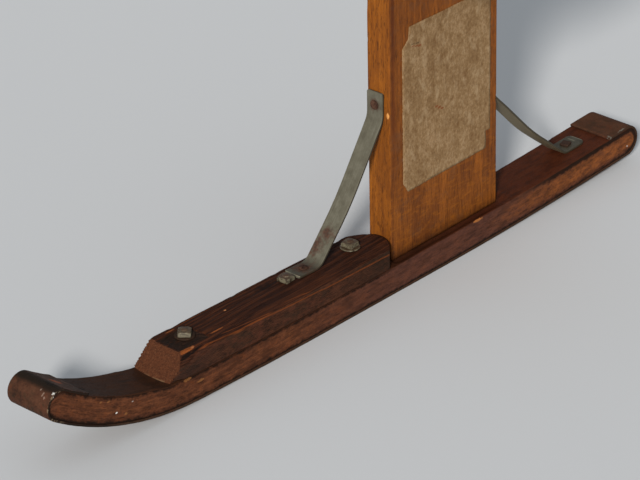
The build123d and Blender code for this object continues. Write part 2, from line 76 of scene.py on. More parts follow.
def fade(tree, value, start, end):
    # 0 at start and 1 at end
    return addNode(tree, "MapRange", {0: value, 1: start, 2: end}, clamp=True).outputs[0]


def mixColors(tree, factor, first, second, blend="MIX"):
    made = tree.nodes.new("ShaderNodeMix")
    made.data_type = "RGBA"
    made.blend_type = blend
    feed(tree, made.inputs[0], factor)
    feed(tree, made.inputs[6], first)
    feed(tree, made.inputs[7], second)
    return made.outputs[2]


def ramp(tree, factor, stops):
    made = addNode(tree, "ValToRGB", {0: factor})
    elements = made.color_ramp.elements
    while len(elements) < len(stops):
        elements.new(0.5)
    for element, (position, tone) in zip(elements, stops):
        element.position = position
        element.color = tone
    return made.outputs[0]


def scaled(tree, vector, scale):
    return addNode(tree, "Mapping", {"Vector": vector, "Scale": scale}).outputs[0]


def cloud(tree, vector, scale, detail=3.0, roughness=0.55):
    # Noise with cells of about 1 / scale metres along each axis
    size = scale if isinstance(scale, tuple) else (scale, scale, scale)
    return addNode(
        tree, "TexNoise", {"Vector": scaled(tree, vector, size), "Scale": 1.0, "Detail": detail, "Roughness": roughness}
    ).outputs[0]


def spot(tree, place, center, size, ragged=0.35, grainScale=400.0, soft=0.25):
    # 1 inside an uneven spot and 0 outside it
    shifted = addNode(tree, "VectorMath", {0: place, 1: center}, operation="SUBTRACT").outputs[0]
    flat = addNode(tree, "VectorMath", {0: shifted, 1: tuple(1 / side for side in size)}, operation="MULTIPLY")
    reach = addNode(tree, "VectorMath", {0: flat.outputs[0]}, operation="LENGTH").outputs["Value"]
    rough = compute(tree, "MULTIPLY", compute(tree, "SUBTRACT", cloud(tree, place, grainScale), 0.5), 4 * ragged)
    return fade(tree, compute(tree, "ADD", reach, rough), 1.0, 1.0 - soft)


def anyOf(tree, masks):
    whole = masks[0]
    for mask in masks[1:]:
        whole = compute(tree, "MAXIMUM", whole, mask)
    return whole


def allOf(tree, masks):
    whole = masks[0]
    for mask in masks[1:]:
        whole = compute(tree, "MULTIPLY", whole, mask)
    return whole


def nearLine(tree, value, middle, half):
    # 1 where a value is at the middle and 0 from half away
    return fade(tree, compute(tree, "ABSOLUTE", compute(tree, "SUBTRACT", value, middle)), half, half * 0.35)


def facing(tree, axis):
    # How much the surface faces along an axis, given as "X", "Y" or "Z"
    geometry = addNode(tree, "NewGeometry")
    return addNode(tree, "SeparateXYZ", {0: geometry.outputs["Normal"]}).outputs[axis]


def startMaterial(name, roughness, metallic=0.0, specular=0.5):
    material = bpy.data.materials.new(name)
    material.use_nodes = True
    tree = material.node_tree
    shader = tree.nodes["Principled BSDF"]
    shader.inputs["Metallic"].default_value = metallic
    shader.inputs["Roughness"].default_value = roughness
    shader.inputs["Specular IOR Level"].default_value = specular
    place = addNode(tree, "TexCoord").outputs["Object"]
    return material, tree, shader, place


def finishMaterial(tree, shader, tone, roughness=None, height=None, depth=0.0005):
    feed(tree, shader.inputs["Base Color"], tone)
    if roughness is not None:
        feed(tree, shader.inputs["Roughness"], roughness)
    if height is not None:
        bump = addNode(tree, "Bump", {"Height": height, "Strength": 1.0, "Distance": depth})
        feed(tree, shader.inputs["Normal"], bump.outputs[0])


# Wood: rings round a pith, long streaks, fibres and pores, on coordinates whose x runs along the grain

def grainCoordinates(tree):
    return addNode(tree, "Attribute", attribute_name="grainSpace").outputs["Vector"]


def growWood(tree, grain, look):
    wobble = addNode(tree, "TexNoise", {"Vector": scaled(tree, grain, (3.5, 14, 14)), "Scale": 1.0, "Detail": 2.0})
    centered = addNode(
        tree, "VectorMath", {0: wobble.outputs["Color"], 1: (0.5, 0.5, 0.5)}, operation="SUBTRACT"
    ).outputs[0]
    shift = addNode(tree, "VectorMath", {0: centered, "Scale": look["wander"]}, operation="SCALE").outputs[0]
    bent = addNode(tree, "VectorMath", {0: grain, 1: shift}, operation="ADD").outputs[0]
    fromPith = addNode(tree, "VectorMath", {0: bent, 1: look["pith"]}, operation="SUBTRACT").outputs[0]
    across = addNode(tree, "VectorMath", {0: fromPith, 1: (0, 1, 1)}, operation="MULTIPLY").outputs[0]
    radius = addNode(tree, "VectorMath", {0: across}, operation="LENGTH").outputs["Value"]
    phase = compute(tree, "MULTIPLY", radius, 2 * math.pi / look["ringWidth"])
    rings = fade(tree, compute(tree, "SINE", phase), -0.5, 1.0)
    streaks = cloud(tree, bent, look["streaks"], 4.0, 0.6)
    broad = cloud(tree, bent, look["broad"], 3.0)
    fibres = cloud(tree, grain, look["fibres"], 3.0, 0.65)
    pores = fade(tree, cloud(tree, grain, look["pores"], 2.0, 0.5), 0.60, 0.68)
    tone = compute(tree, "MULTIPLY", rings, look["ringShare"])
    tone = compute(tree, "ADD", tone, compute(tree, "MULTIPLY", streaks, look["streakShare"]))
    tone = compute(tree, "ADD", tone, compute(tree, "MULTIPLY", broad, look["broadShare"]))
    tone = compute(tree, "ADD", tone, compute(tree, "MULTIPLY", fibres, look["fibreShare"]))
    total = look["ringShare"] + look["streakShare"] + look["broadShare"] + look["fibreShare"]
    tone = compute(tree, "DIVIDE", tone, total)
    tinted = ramp(tree, tone, [(0.32, look["dark"]), (0.5, look["middle"]), (0.68, look["light"])])
    tinted = mixColors(tree, compute(tree, "MULTIPLY", pores, look["poreShare"]), tinted, look["poreTone"])
    height = compute(tree, "MULTIPLY", fibres, 0.5)
    height = compute(tree, "ADD", height, compute(tree, "MULTIPLY", rings, look["ringRelief"]))
    height = compute(tree, "SUBTRACT", height, compute(tree, "MULTIPLY", pores, 0.6))
    return tinted, height, tone


# Mesh helpers

def makeObject(name, points, faces, grain=None, gaps=None):
    mesh = bpy.data.meshes.new(name)
    mesh.from_pydata([tuple(point) for point in points], [], faces)
    mesh.update()
    for attributeName, values in (("grainSpace", grain), ("gapSpace", gaps)):
        if values is not None:
            attribute = mesh.attributes.new(attributeName, "FLOAT_VECTOR", "POINT")
            attribute.data.foreach_set("vector", [value for point in values for value in point])
    piece = bpy.data.objects.new(name, mesh)
    bpy.context.scene.collection.objects.link(piece)
    mesh.polygons.foreach_set("use_smooth", [True] * len(mesh.polygons))
    return piece


def dress(piece, material, nodes):
    piece.data.materials.clear()
    piece.data.materials.append(material)
    if nodes:
        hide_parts(*nodes)
    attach(piece, "root")
    return piece


def skin(rings):
    # Walls between neighbouring closed rings of points, and a fan of one face at each end
    points = [point for ring in rings for point in ring]
    count = len(rings[0])
    faces = []
    for number in range(len(rings) - 1):
        for step in range(count):
            here = number * count + step
            beside = number * count + (step + 1) % count
            faces.append((here, beside, beside + count, here + count))
    faces.append(tuple(reversed(range(count))))
    faces.append(tuple(range((len(rings) - 1) * count, len(rings) * count)))
    return points, faces


def steps(length, spacing, rounding):
    # Places along one side of a box, closer together where its edges are rounded
    ends = [0.0, rounding * 0.29, rounding * 0.62, rounding] if rounding else [0.0]
    inner = max(1, round((length - 2 * ends[-1]) / spacing))
    middle = [ends[-1] + (length - 2 * ends[-1]) * number / inner for number in range(1, inner)]
    return ends + middle + [length - value for value in reversed(ends)]


def roundedBox(size, spacing, rounding, sharp=()):
    # A box with a corner at the origin, as a net of quads. Its edges are rounded, but not along the sharp axes
    lines = [steps(size[axis], spacing[axis], 0.0 if axis in sharp else rounding) for axis in range(3)]
    top = [len(line) - 1 for line in lines]
    index, points, faces = {}, [], []

    def corner(key):
        if key not in index:
            index[key] = len(points)
            place = Vector([lines[axis][key[axis]] for axis in range(3)])
            inner = place.copy()
            for axis in range(3):
                if axis not in sharp:
                    inner[axis] = min(max(place[axis], rounding), size[axis] - rounding)
            away = place - inner
            if away.length > rounding:
                place = inner + away.normalized() * rounding
            points.append(place)
        return index[key]

    for axis in range(3):
        first, second = (axis + 1) % 3, (axis + 2) % 3
        for level in (0, top[axis]):
            for i in range(top[first]):
                for j in range(top[second]):
                    loop = []
                    for a, b in ((i, j), (i + 1, j), (i + 1, j + 1), (i, j + 1)):
                        key = [0, 0, 0]
                        key[axis], key[first], key[second] = level, a, b
                        loop.append(corner(tuple(key)))
                    faces.append(tuple(loop) if level else tuple(reversed(loop)))
    return points, faces


def joined(parts):
    points, faces = [], []
    for somePoints, someFaces in parts:
        start = len(points)
        points += somePoints
        faces += [tuple(start + corner for corner in face) for face in someFaces]
    return points, faces


def ripple(place, scale, seed=0.0):
    # Smooth noise from -1 to 1
    return noise.noise(Vector((place[0] * scale[0] + seed, place[1] * scale[1], place[2] * scale[2] + seed)))


def roundedPath(corners, radii, spacing):
    # Points and directions along straight runs joined by arcs, in the xz plane
    runs, start = [], Vector(corners[0])
    path = []
    for number in range(1, len(corners) - 1):
        corner = Vector(corners[number])
        toBack = (Vector(corners[number - 1]) - corner).normalized()
        toFront = (Vector(corners[number + 1]) - corner).normalized()
        half = toBack.angle(toFront) / 2
        reach = radii[number - 1] / math.tan(half)
        center = corner + (toBack + toFront).normalized() * radii[number - 1] / math.sin(half)
        begin, end = corner + toBack * reach, corner + toFront * reach
        runs.append((start, begin))
        turn = math.pi - 2 * half
        side = 1 if (-toBack).cross(toFront) > 0 else -1
        runs.append((center, begin, side * turn))
        start = end
    runs.append((start, Vector(corners[-1])))
    for run in runs:
        if len(run) == 2:
            length = (run[1] - run[0]).length
            count = max(1, round(length / spacing))
            direction = (run[1] - run[0]).normalized()
            first = 0 if not path else 1
            path += [(run[0] + direction * length * i / count, direction) for i in range(first, count + 1)]
        else:
            center, begin, turn = run
            arm = begin - center
            count = max(2, round(abs(turn) * arm.length / spacing), round(math.degrees(abs(turn)) / 8))
            for i in range(1, count + 1):
                turned = arm.copy()
                turned.rotate(Matrix.Rotation(turn * i / count, 2))
                ahead = Vector((-turned.y, turned.x)) * (1 if turn > 0 else -1)
                path.append((center + turned, ahead.normalized()))
    return path


def plateau(value, marks):
    # 0 outside the outer marks and 1 between the inner ones
    start, full, ease, end = marks
    return min(1.0, max(0.0, (value - start) / (full - start)), max(0.0, (end - value) / (end - ease)))


# Runner: the sizes of its arcs, in metres, as the frame has them
runnerSizes = {
    "width": 0.066,
    "lowDepth": 0.0345,
    "lowX": 0.053,
    "topRadius": 10.1,
    "flatEnd": 0.095,
    "rockerRadius": 6.3,
    "upturnStart": 0.320,
    "upturnRadius": 0.434,
    "tipAngle": math.radians(34.3),
    "heelX": -0.4985,
    "shoeThick": 0.003,
    "toeWrap": 0.040,
    "heelWrap": 0.038,
    "edge": 0.0022,
    "spacing": 0.0032,
    "sawX": (0.350, 0.358, 0.366, 0.390), "sawCut": 0.0020, "sawBelly": 0.0016, "bellyHalf": 0.030,
    "footX": (-0.260, -0.250, -0.046, -0.036), "footY": (0.022, 0.031), "footCut": 0.0042,
}


def around(center, radius, angle):
    return Vector((center[0] + radius * math.sin(angle), center[1] - radius * math.cos(angle)))


def runnerTop(x):
    sizes = runnerSizes
    low = sizes["shoeThick"] + sizes["lowDepth"]
    return low + sizes["topRadius"] - math.sqrt(sizes["topRadius"] ** 2 - (x - sizes["lowX"]) ** 2)


def runnerSole(x):
    reach = max(abs(x) - runnerSizes["flatEnd"], 0.0)
    return runnerSizes["rockerRadius"] - math.sqrt(runnerSizes["rockerRadius"] ** 2 - reach ** 2)


def runnerArcs():
    # Centres, radii and angles of the upturn, the nose and the heel
    sizes = runnerSizes
    front = (sizes["flatEnd"], sizes["rockerRadius"])
    startAngle = math.asin((sizes["upturnStart"] - sizes["flatEnd"]) / sizes["rockerRadius"])
    soleBreak = around(front, sizes["rockerRadius"], startAngle)
    center = around(soleBreak, -sizes["upturnRadius"], startAngle)
    topBreak = Vector((sizes["upturnStart"], runnerTop(sizes["upturnStart"])))
    inner = (topBreak - center).length
    outer = sizes["upturnRadius"] - sizes["shoeThick"]
    breakAngle = math.atan2(topBreak.x - center.x, center.y - topBreak.y)
    heelAngle = math.asin((sizes["heelX"] + sizes["flatEnd"]) / sizes["rockerRadius"])
    heelBottom = around((-sizes["flatEnd"], sizes["rockerRadius"]), sizes["rockerRadius"] - sizes["shoeThick"], heelAngle)
    heelTopX = sizes["heelX"] - sizes["lowDepth"] * math.sin(heelAngle)
    heelTop = Vector((heelTopX, runnerTop(heelTopX)))
    return {
        "center": center, "inner": inner, "outer": outer, "breakAngle": breakAngle, "heelAngle": heelAngle,
        "heelBottom": heelBottom, "heelTop": heelTop,
    }


arcs = runnerArcs()


def runnerStations():
    # Pairs of a bottom and a top point along the runner, from its heel to its nose
    sizes = runnerSizes
    pairs = []
    middle = (arcs["heelBottom"] + arcs["heelTop"]) / 2
    half = (arcs["heelTop"] - arcs["heelBottom"]) / 2
    back = Vector((-half.y, half.x))
    for number in range(1, 10):
        turn = math.radians(90 * (1 - number / 10))
        pairs.append((middle - half * math.cos(turn) + back * math.sin(turn),
                      middle + half * math.cos(turn) + back * math.sin(turn)))
    count = round((sizes["upturnStart"] - sizes["heelX"]) / sizes["spacing"])
    for number in range(count + 1):
        x = sizes["heelX"] + (sizes["upturnStart"] - sizes["heelX"]) * number / count
        pairs.append((Vector((x, runnerSole(x) + sizes["shoeThick"])), Vector((x, runnerTop(x)))))
    sweep = sizes["tipAngle"] - arcs["breakAngle"]
    count = round(sweep * arcs["inner"] / sizes["spacing"])
    for number in range(1, count + 1):
        angle = arcs["breakAngle"] + sweep * number / count
        pairs.append((around(arcs["center"], arcs["outer"], angle), around(arcs["center"], arcs["inner"], angle)))
    bottom, top = pairs[-1]
    middle, half = (bottom + top) / 2, (top - bottom) / 2
    ahead = Vector((half.y, -half.x))
    for number in range(1, 10):
        turn = math.radians(90 * number / 10)
        pairs.append((middle - half * math.cos(turn) + ahead * math.sin(turn),
                      middle + half * math.cos(turn) + ahead * math.sin(turn)))
    return pairs


def topHollow(x, y):
    # How deep the top is worn beside the post, and cut by the saw in front of the block
    sizes = runnerSizes
    inner, outer = sizes["footY"]
    beside = min(1.0, max(0.0, (outer - abs(y)) / (outer - inner)))
    saw = sizes["sawCut"] + sizes["sawBelly"] * max(0.0, 1 - (y / sizes["bellyHalf"]) ** 2)
    return max(sizes["footCut"] * beside * plateau(x, sizes["footX"]), saw * plateau(x, sizes["sawX"]))


def buildRunner():
    sizes = runnerSizes
    pairs = runnerStations()
    across = [value - sizes["width"] / 2 for value in steps(sizes["width"], sizes["spacing"], sizes["edge"])]
    rings, grain, gaps, along = [], [], [], 0.0
    last = None
    for bottom, top in pairs:
        middle = (bottom + top) / 2
        if last is not None:
            along += (middle - last).length
        last = middle
        depth = (top - bottom).length
        edge = min(sizes["edge"], depth * 0.3)
        levels = steps(depth, sizes["spacing"], edge)
        levels = [levels[round(i * (len(levels) - 1) / 13)] for i in range(14)] if len(levels) != 14 else levels
        upward = (top - bottom).normalized()
        outline = [(y, 0.0) for y in across] + [(across[-1], level) for level in levels[1:-1]]
        outline += [(y, depth) for y in reversed(across)] + [(across[0], level) for level in reversed(levels[1:-1])]
        ring = []
        for y, level in outline:
            innerY = min(max(y, -sizes["width"] / 2 + edge), sizes["width"] / 2 - edge)
            innerLevel = min(max(level, edge), depth - edge)
            away = Vector((y - innerY, level - innerLevel))
            if away.length > edge:
                away = away.normalized() * edge
            y, level = innerY + away.x, innerLevel + away.y
            place = bottom + upward * level
            place -= upward * topHollow(place.x, y) * max(0.0, 2 * level / depth - 1)
            point = Vector((place.x, y, place.y))
            # Shallow dents all over, and deeper ones where the edges are knocked
            out = Vector((0, away.x, 0)) + Vector((upward.x, 0, upward.y)) * away.y
            knocked = max(0.0, ripple(point, (38, 60, 60), 3.0) - 0.25) if away.x and away.y else 0.0
            sink = 0.00018 * ripple(point, (60, 90, 90)) + 0.0016 * knocked
            if out.length:
                point -= out.normalized() * max(sink, -0.0001)
            ring.append(point)
            grain.append((along, y, depth - level))
            gaps.append((level, depth - level, along))
        rings.append(ring)
    points, faces = skin(rings)
    return makeObject("runnerWood", points, faces, grain, gaps)


# Stained, reddish wood of the runner, with its worn and dirty places
runnerLook = {
    "wander": 0.012, "pith": (0, 0.06, 0.16), "ringWidth": 0.0065, "ringShare": 0.10,
    "streaks": (40, 210, 210), "streakShare": 0.8, "broad": (9, 44, 44), "broadShare": 0.65,
    "fibres": (130, 1500, 1500), "fibreShare": 0.55, "pores": (90, 1100, 1100), "poreShare": 0.45,
    "ringRelief": 0.1,
    "dark": color(58, 33, 22), "middle": color(92, 54, 36), "light": color(124, 74, 46),
    "poreTone": color(30, 19, 14),
    "frontTop": color(43, 25, 14), "rearTop": color(68, 30, 15), "dirtAndShadeTone": color(22, 16, 11),
    "fadedTone": color(86, 55, 47), "wearBlotch": color(112, 60, 32),
    "wornTone": color(146, 84, 42), "freshTone": color(172, 108, 56), "tanTone": color(146, 96, 54),
    "heelRing": 0.0075, "recess": ((0.4860, 0.0075, 0.0865), (0.0130, 0.0055, 0.0100)),
    "paintTone": color(232, 228, 218),
    "freshSpots": [((-0.1895, 0.0333, 0.0395), (0.0100, 0.0024, 0.0024))],
    "tanSpots": [((0.336, 0.033, 0.0395), (0.007, 0.02, 0.0019)), ((0.314, 0.033, 0.0295), (0.007, 0.02, 0.0018)),
                 ((0.4375, 0.033, 0.0398), (0.0030, 0.02, 0.0018)), ((0.4760, 0.033, 0.0720), (0.0022, 0.02, 0.0013)),
                 ((0.4640, 0.033, 0.0675), (0.0034, 0.02, 0.0013))],
    "whiteSpots": [((0.4522, 0.033, 0.0473), (0.0019, 0.02, 0.0012))],
    "paleSpots": [((-0.4961, 0.033, 0.0276), (0.0019, 0.02, 0.0014)), ((0.4260, 0.033, 0.0510), (0.0016, 0.02, 0.0008))],
}


def runnerMaterial():
    look = runnerLook
    material, tree, shader, place = startMaterial("stainedRunnerWood", 0.65, specular=0.04)
    grain = grainCoordinates(tree)
    tone, height, value = growWood(tree, grain, look)
    x = addNode(tree, "SeparateXYZ", {0: place}).outputs["X"]
    gapSpace = addNode(tree, "Attribute", attribute_name="gapSpace").outputs["Vector"]
    gaps = addNode(tree, "SeparateXYZ", {0: gapSpace})
    fromSole, fromTop = gaps.outputs["X"], gaps.outputs["Y"]
    topSide = fade(tree, facing(tree, "Z"), 0.55, 0.85)
    sides = compute(tree, "SUBTRACT", 1.0, topSide)
    # Crazed, uneven varnish: small lighter and darker flecks
    flecks = cloud(tree, place, 300, 3.0, 0.7)
    tone = mixColors(tree, compute(tree, "MULTIPLY", fade(tree, flecks, 0.46, 0.30), 0.55), tone, look["dark"])
    tone = mixColors(tree, compute(tree, "MULTIPLY", fade(tree, flecks, 0.56, 0.72), 0.45), tone, look["light"])
    # The top is darker, and redder behind the post
    topTone = mixColors(tree, fade(tree, x, 0.02, -0.26), look["frontTop"], look["rearTop"])
    tone = mixColors(tree, compute(tree, "MULTIPLY", topSide, 0.8), tone, topTone)
    # Large blotches, and a faded middle stretch
    blotch = cloud(tree, grain, (55, 95, 95), 4.0, 0.7)
    tone = mixColors(tree, allOf(tree, [fade(tree, blotch, 0.50, 0.36), sides, 0.55]), tone, look["dark"])
    tone = mixColors(tree, allOf(tree, [fade(tree, blotch, 0.52, 0.68), sides, 0.45]), tone, look["wearBlotch"])
    middle = allOf(tree, [fade(tree, x, -0.34, -0.22), fade(tree, x, 0.16, -0.02)])
    tone = mixColors(tree, allOf(tree, [middle, sides, 0.55]), tone, look["fadedTone"])
    # Orange wear along the middle of the rear side, where the stain has rubbed away
    brightened = fade(tree, cloud(tree, grain, (75, 150, 150), 5.0, 0.75), 0.36, 0.60)
    rear = fade(tree, x, -0.20, -0.36)
    amount = compute(tree, "ADD", compute(tree, "MULTIPLY", rear, 0.74), 0.06)
    inside = allOf(tree, [fade(tree, fromTop, 0.005, 0.011), fade(tree, fromSole, 0.006, 0.011)])
    tone = mixColors(tree, allOf(tree, [brightened, amount, sides, inside]), tone, look["wornTone"])
    # Painted shade in the seam above the shoe, and dirt along the top edge and in patches
    waver = compute(tree, "MULTIPLY", compute(tree, "SUBTRACT", cloud(tree, grain, 120, 4.0, 0.65), 0.5), 0.011)
    spread = compute(tree, "SUBTRACT", waver, compute(tree, "MULTIPLY", rear, 0.0036))
    seam = fade(tree, compute(tree, "ADD", fromSole, waver), 0.0056, 0.0020)
    upper = fade(tree, compute(tree, "ADD", fromTop, spread), 0.0046, 0.0014)
    cleanEdge = allOf(tree, [fade(tree, x, -0.34, -0.26), fade(tree, x, 0.0, -0.05)])
    upper = compute(tree, "MULTIPLY", upper, compute(tree, "SUBTRACT", 1.0, compute(tree, "MULTIPLY", cleanEdge, 0.85)))
    patchy = fade(tree, cloud(tree, grain, (34, 120, 120), 3.0), 0.46, 0.66)
    # A dark ring inside the round end of the heel
    heelMiddle = (arcs["heelBottom"] + arcs["heelTop"]) / 2
    fromMiddle = addNode(tree, "VectorMath", {0: place, 1: (heelMiddle.x, 0, heelMiddle.y)}, operation="SUBTRACT")
    flat = addNode(tree, "VectorMath", {0: fromMiddle.outputs[0], 1: (1, 0, 1)}, operation="MULTIPLY").outputs[0]
    reach = addNode(tree, "VectorMath", {0: flat}, operation="LENGTH").outputs["Value"]
    endRadius = (arcs["heelTop"] - arcs["heelBottom"]).length / 2
    ring = fade(tree, compute(tree, "SUBTRACT", reach, waver), endRadius - look["heelRing"], endRadius - look["heelRing"] + 0.0025)
    ring = allOf(tree, [ring, fade(tree, x, heelMiddle.x + 0.012, heelMiddle.x), sides, 0.88])
    darkening = anyOf(tree, [
        ring, allOf(tree, [seam, sides, 0.92]), allOf(tree, [upper, sides, 0.88]), compute(tree, "MULTIPLY", patchy, 0.40),
        # painted shadow in the gap behind the end of the toe wrap
        compute(tree, "MULTIPLY", spot(tree, place, *look["recess"], 0.3, 200.0), 0.9),
    ])
    tone = mixColors(tree, darkening, tone, look["dirtAndShadeTone"])
    fresh = anyOf(tree, [spot(tree, place, *data) for data in look["freshSpots"]])
    tone = mixColors(tree, compute(tree, "MULTIPLY", fresh, 0.75), tone, look["freshTone"])
    tan = anyOf(tree, [spot(tree, place, *data) for data in look["tanSpots"]])
    tone = mixColors(tree, compute(tree, "MULTIPLY", tan, 0.6), tone, look["tanTone"])
    white = anyOf(tree, [spot(tree, place, *data, 0.2) for data in look["whiteSpots"]])
    tone = mixColors(tree, white, tone, look["paintTone"])
    pale = anyOf(tree, [spot(tree, place, *data, 0.4) for data in look["paleSpots"]])
    tone = mixColors(tree, compute(tree, "MULTIPLY", pale, 0.35), tone, look["paintTone"])
    roughness = compute(tree, "ADD", compute(tree, "MULTIPLY", value, 0.4), 0.38)
    relief = compute(tree, "ADD", height, compute(tree, "MULTIPLY", flecks, 0.8))
    finishMaterial(tree, shader, tone, roughness, relief, 0.0006)
    return material


dress(buildRunner(), runnerMaterial(), ["runner"])
print("runner made")


# Iron shoe: a hand-bent band round the sole, the nose and the heel
shoeLook = {
    "edge": 0.0007, "wave": 0.00028, "spacing": 0.0018,
    "rust": color(73, 46, 33), "darkRust": color(48, 32, 24), "brightRust": color(88, 57, 41),
    "oliveRust": color(46, 37, 26), "redRust": color(92, 48, 30),
    "sideTone": color(56, 43, 32), "heelTone": color(78, 48, 29),
    "steel": color(132, 112, 88), "paint": color(206, 201, 192), "fadedPaint": color(150, 128, 112),
    "bareTone": color(122, 118, 106), "topTone": color(33, 26, 20), "recessTone": color(16, 13, 12), "stripeTone": color(156, 76, 42),
    "bareSpots": [((-0.4845, 0.0312, 0.0547), (0.009, 0.0016, 0.003)), ((-0.4605, 0.0300, 0.0520), (0.004, 0.003, 0.003))],
    "paintSpots": [((0.5455, 0.0306, 0.1142), (0.0024, 0.0020, 0.0022)), ((0.5475, 0.0320, 0.1105), (0.0014, 0.0014, 0.0016))],
    "fadedSpots": [((0.5507, 0.0193, 0.1108), (0.0030, 0.0012, 0.0032)), ((0.5473, 0.0129, 0.1132), (0.0022, 0.0012, 0.0018)),
                   ((0.5529, 0.0232, 0.1088), (0.0016, 0.0014, 0.0018))],
    "stripe": ((0.5128, -0.0010, 0.1035), (0.0100, 0.0085, 0.0090)),
    "stripeShade": ((0.5290, 0.0150, 0.1140), (0.0080, 0.0100, 0.0060)),
}
# Centres and radii of the sunk heads in the sole
soleHeads = {
    "bolts": ((0.2955, -0.010), (0.121, -0.009), (0.006, -0.008)), "boltRadius": 0.0095, "boltInset": 0.0005,
    "screws": ((-0.430, -0.017), (-0.300, 0.017), (-0.190, -0.017), (-0.060, 0.017), (0.070, -0.017), (0.215, 0.017)),
    "screwRadius": 0.005, "screwInset": 0.0004, "dent": 0.0015, "slope": 0.0012,
}


def shoePath():
    # Points under the band and their outward directions, from the toe's end round to the heel's end
    sizes = runnerSizes
    path = []
    wrap = sizes["toeWrap"] / arcs["inner"]
    for number in range(13):
        angle = sizes["tipAngle"] - wrap * (1 - number / 12)
        place = around(arcs["center"], arcs["inner"], angle)
        path.append((place, (arcs["center"] - place).normalized()))
    bottom, top = around(arcs["center"], arcs["outer"], sizes["tipAngle"]), path[-1][0]
    middle, half = (bottom + top) / 2, (top - bottom) / 2
    ahead = Vector((half.y, -half.x))
    for number in range(1, 18):
        turn = math.radians(180 * number / 18)
        out = half * math.cos(turn) + ahead * math.sin(turn)
        path.append((middle + out, out.normalized()))
    sweep = sizes["tipAngle"] - arcs["breakAngle"]
    count = round(sweep * arcs["outer"] / shoeLook["spacing"])
    for number in range(count + 1):
        angle = sizes["tipAngle"] - sweep * number / count
        place = around(arcs["center"], arcs["outer"], angle)
        path.append((place, (place - arcs["center"]).normalized()))
    length = sizes["upturnStart"] - sizes["heelX"]
    count = round(length / shoeLook["spacing"])
    for number in range(1, count + 1):
        x = sizes["upturnStart"] - length * number / count
        reach = max(abs(x) - sizes["flatEnd"], 0.0)
        lean = math.asin(reach / sizes["rockerRadius"]) * (1 if x > 0 else -1)
        path.append((Vector((x, runnerSole(x) + sizes["shoeThick"])), Vector((math.sin(lean), -math.cos(lean)))))
    middle = (arcs["heelBottom"] + arcs["heelTop"]) / 2
    half = (arcs["heelTop"] - arcs["heelBottom"]) / 2
    back = Vector((-half.y, half.x))
    for number in range(1, 18):
        turn = math.radians(180 * number / 18)
        out = -half * math.cos(turn) + back * math.sin(turn)
        path.append((middle + out, out.normalized()))
    for number in range(13):
        x = arcs["heelTop"].x + sizes["heelWrap"] * number / 12
        lean = (x - sizes["lowX"]) / sizes["topRadius"]
        path.append((Vector((x, runnerTop(x))), Vector((-lean, 1)).normalized()))
    return path


def bandRings(path, width, thick, edge, spacing, lift):
    # Rings of a flat band with eased edges that lies on a path of (point, outward direction)
    across = [value - width / 2 for value in steps(width, spacing, edge)]
    outline = [(y, 0.0) for y in across] + [(across[-1], thick * 0.5)]
    outline += [(y, thick) for y in reversed(across)] + [(across[0], thick * 0.5)]
    rings, grain, along, last = [], [], 0.0, None
    for place, out in path:
        if last is not None:
            along += (place - last).length
        last = place
        ring = []
        for y, level in outline:
            innerY = min(max(y, edge - width / 2), width / 2 - edge)
            innerLevel = min(max(level, edge), thick - edge)
            away = Vector((y - innerY, level - innerLevel))
            if away.length > edge:
                away = away.normalized() * edge
            side, rise = innerY + away.x, innerLevel + away.y
            raised = rise + lift(place, out, along, side, rise)
            point = place + out * raised
            ring.append(Vector((point.x, side, point.y)))
            grain.append((along, side, rise))
        rings.append(ring)
    return rings, grain


def buildShoe():
    sizes, look = runnerSizes, shoeLook

    def hammered(place, out, along, side, rise):
        # Only the outer face is uneven and dented round the sunk heads, within the band's own thickness
        wave = ripple((along, side, 0), (45, 45, 1), 7.0) + 0.5 * ripple((along, side, 0), (140, 140, 1), 2.0)
        sink = abs(look["wave"] * wave)
        if out.y < -0.5:
            for kind, radius in (("bolts", soleHeads["boltRadius"]), ("screws", soleHeads["screwRadius"])):
                for x, y in soleHeads[kind]:
                    outside = math.hypot(place.x - x, side - y) - radius - soleHeads["slope"] / 3
                    sink = max(sink, soleHeads["dent"] * min(1.0, max(0.0, 1 - outside / soleHeads["slope"])))
        return -sink * rise / sizes["shoeThick"]

    rings, grain = bandRings(
        shoePath(), sizes["width"], sizes["shoeThick"], look["edge"], look["spacing"], hammered
    )
    points, faces = skin(rings)
    return makeObject("ironShoe", points, faces, grain)


def rustyIron(name, look, roughness=0.72):
    material, tree, shader, place = startMaterial(name, roughness, specular=0.05)
    coarse = cloud(tree, place, 60, 5.0, 0.65)
    fine = cloud(tree, place, 420, 4.0, 0.7)
    mixed = compute(tree, "ADD", compute(tree, "MULTIPLY", coarse, 0.6), compute(tree, "MULTIPLY", fine, 0.4))
    tone = ramp(tree, mixed, [(0.38, look["darkRust"]), (0.5, look["rust"]), (0.64, look["brightRust"])])
    return material, tree, shader, place, tone, fine, coarse


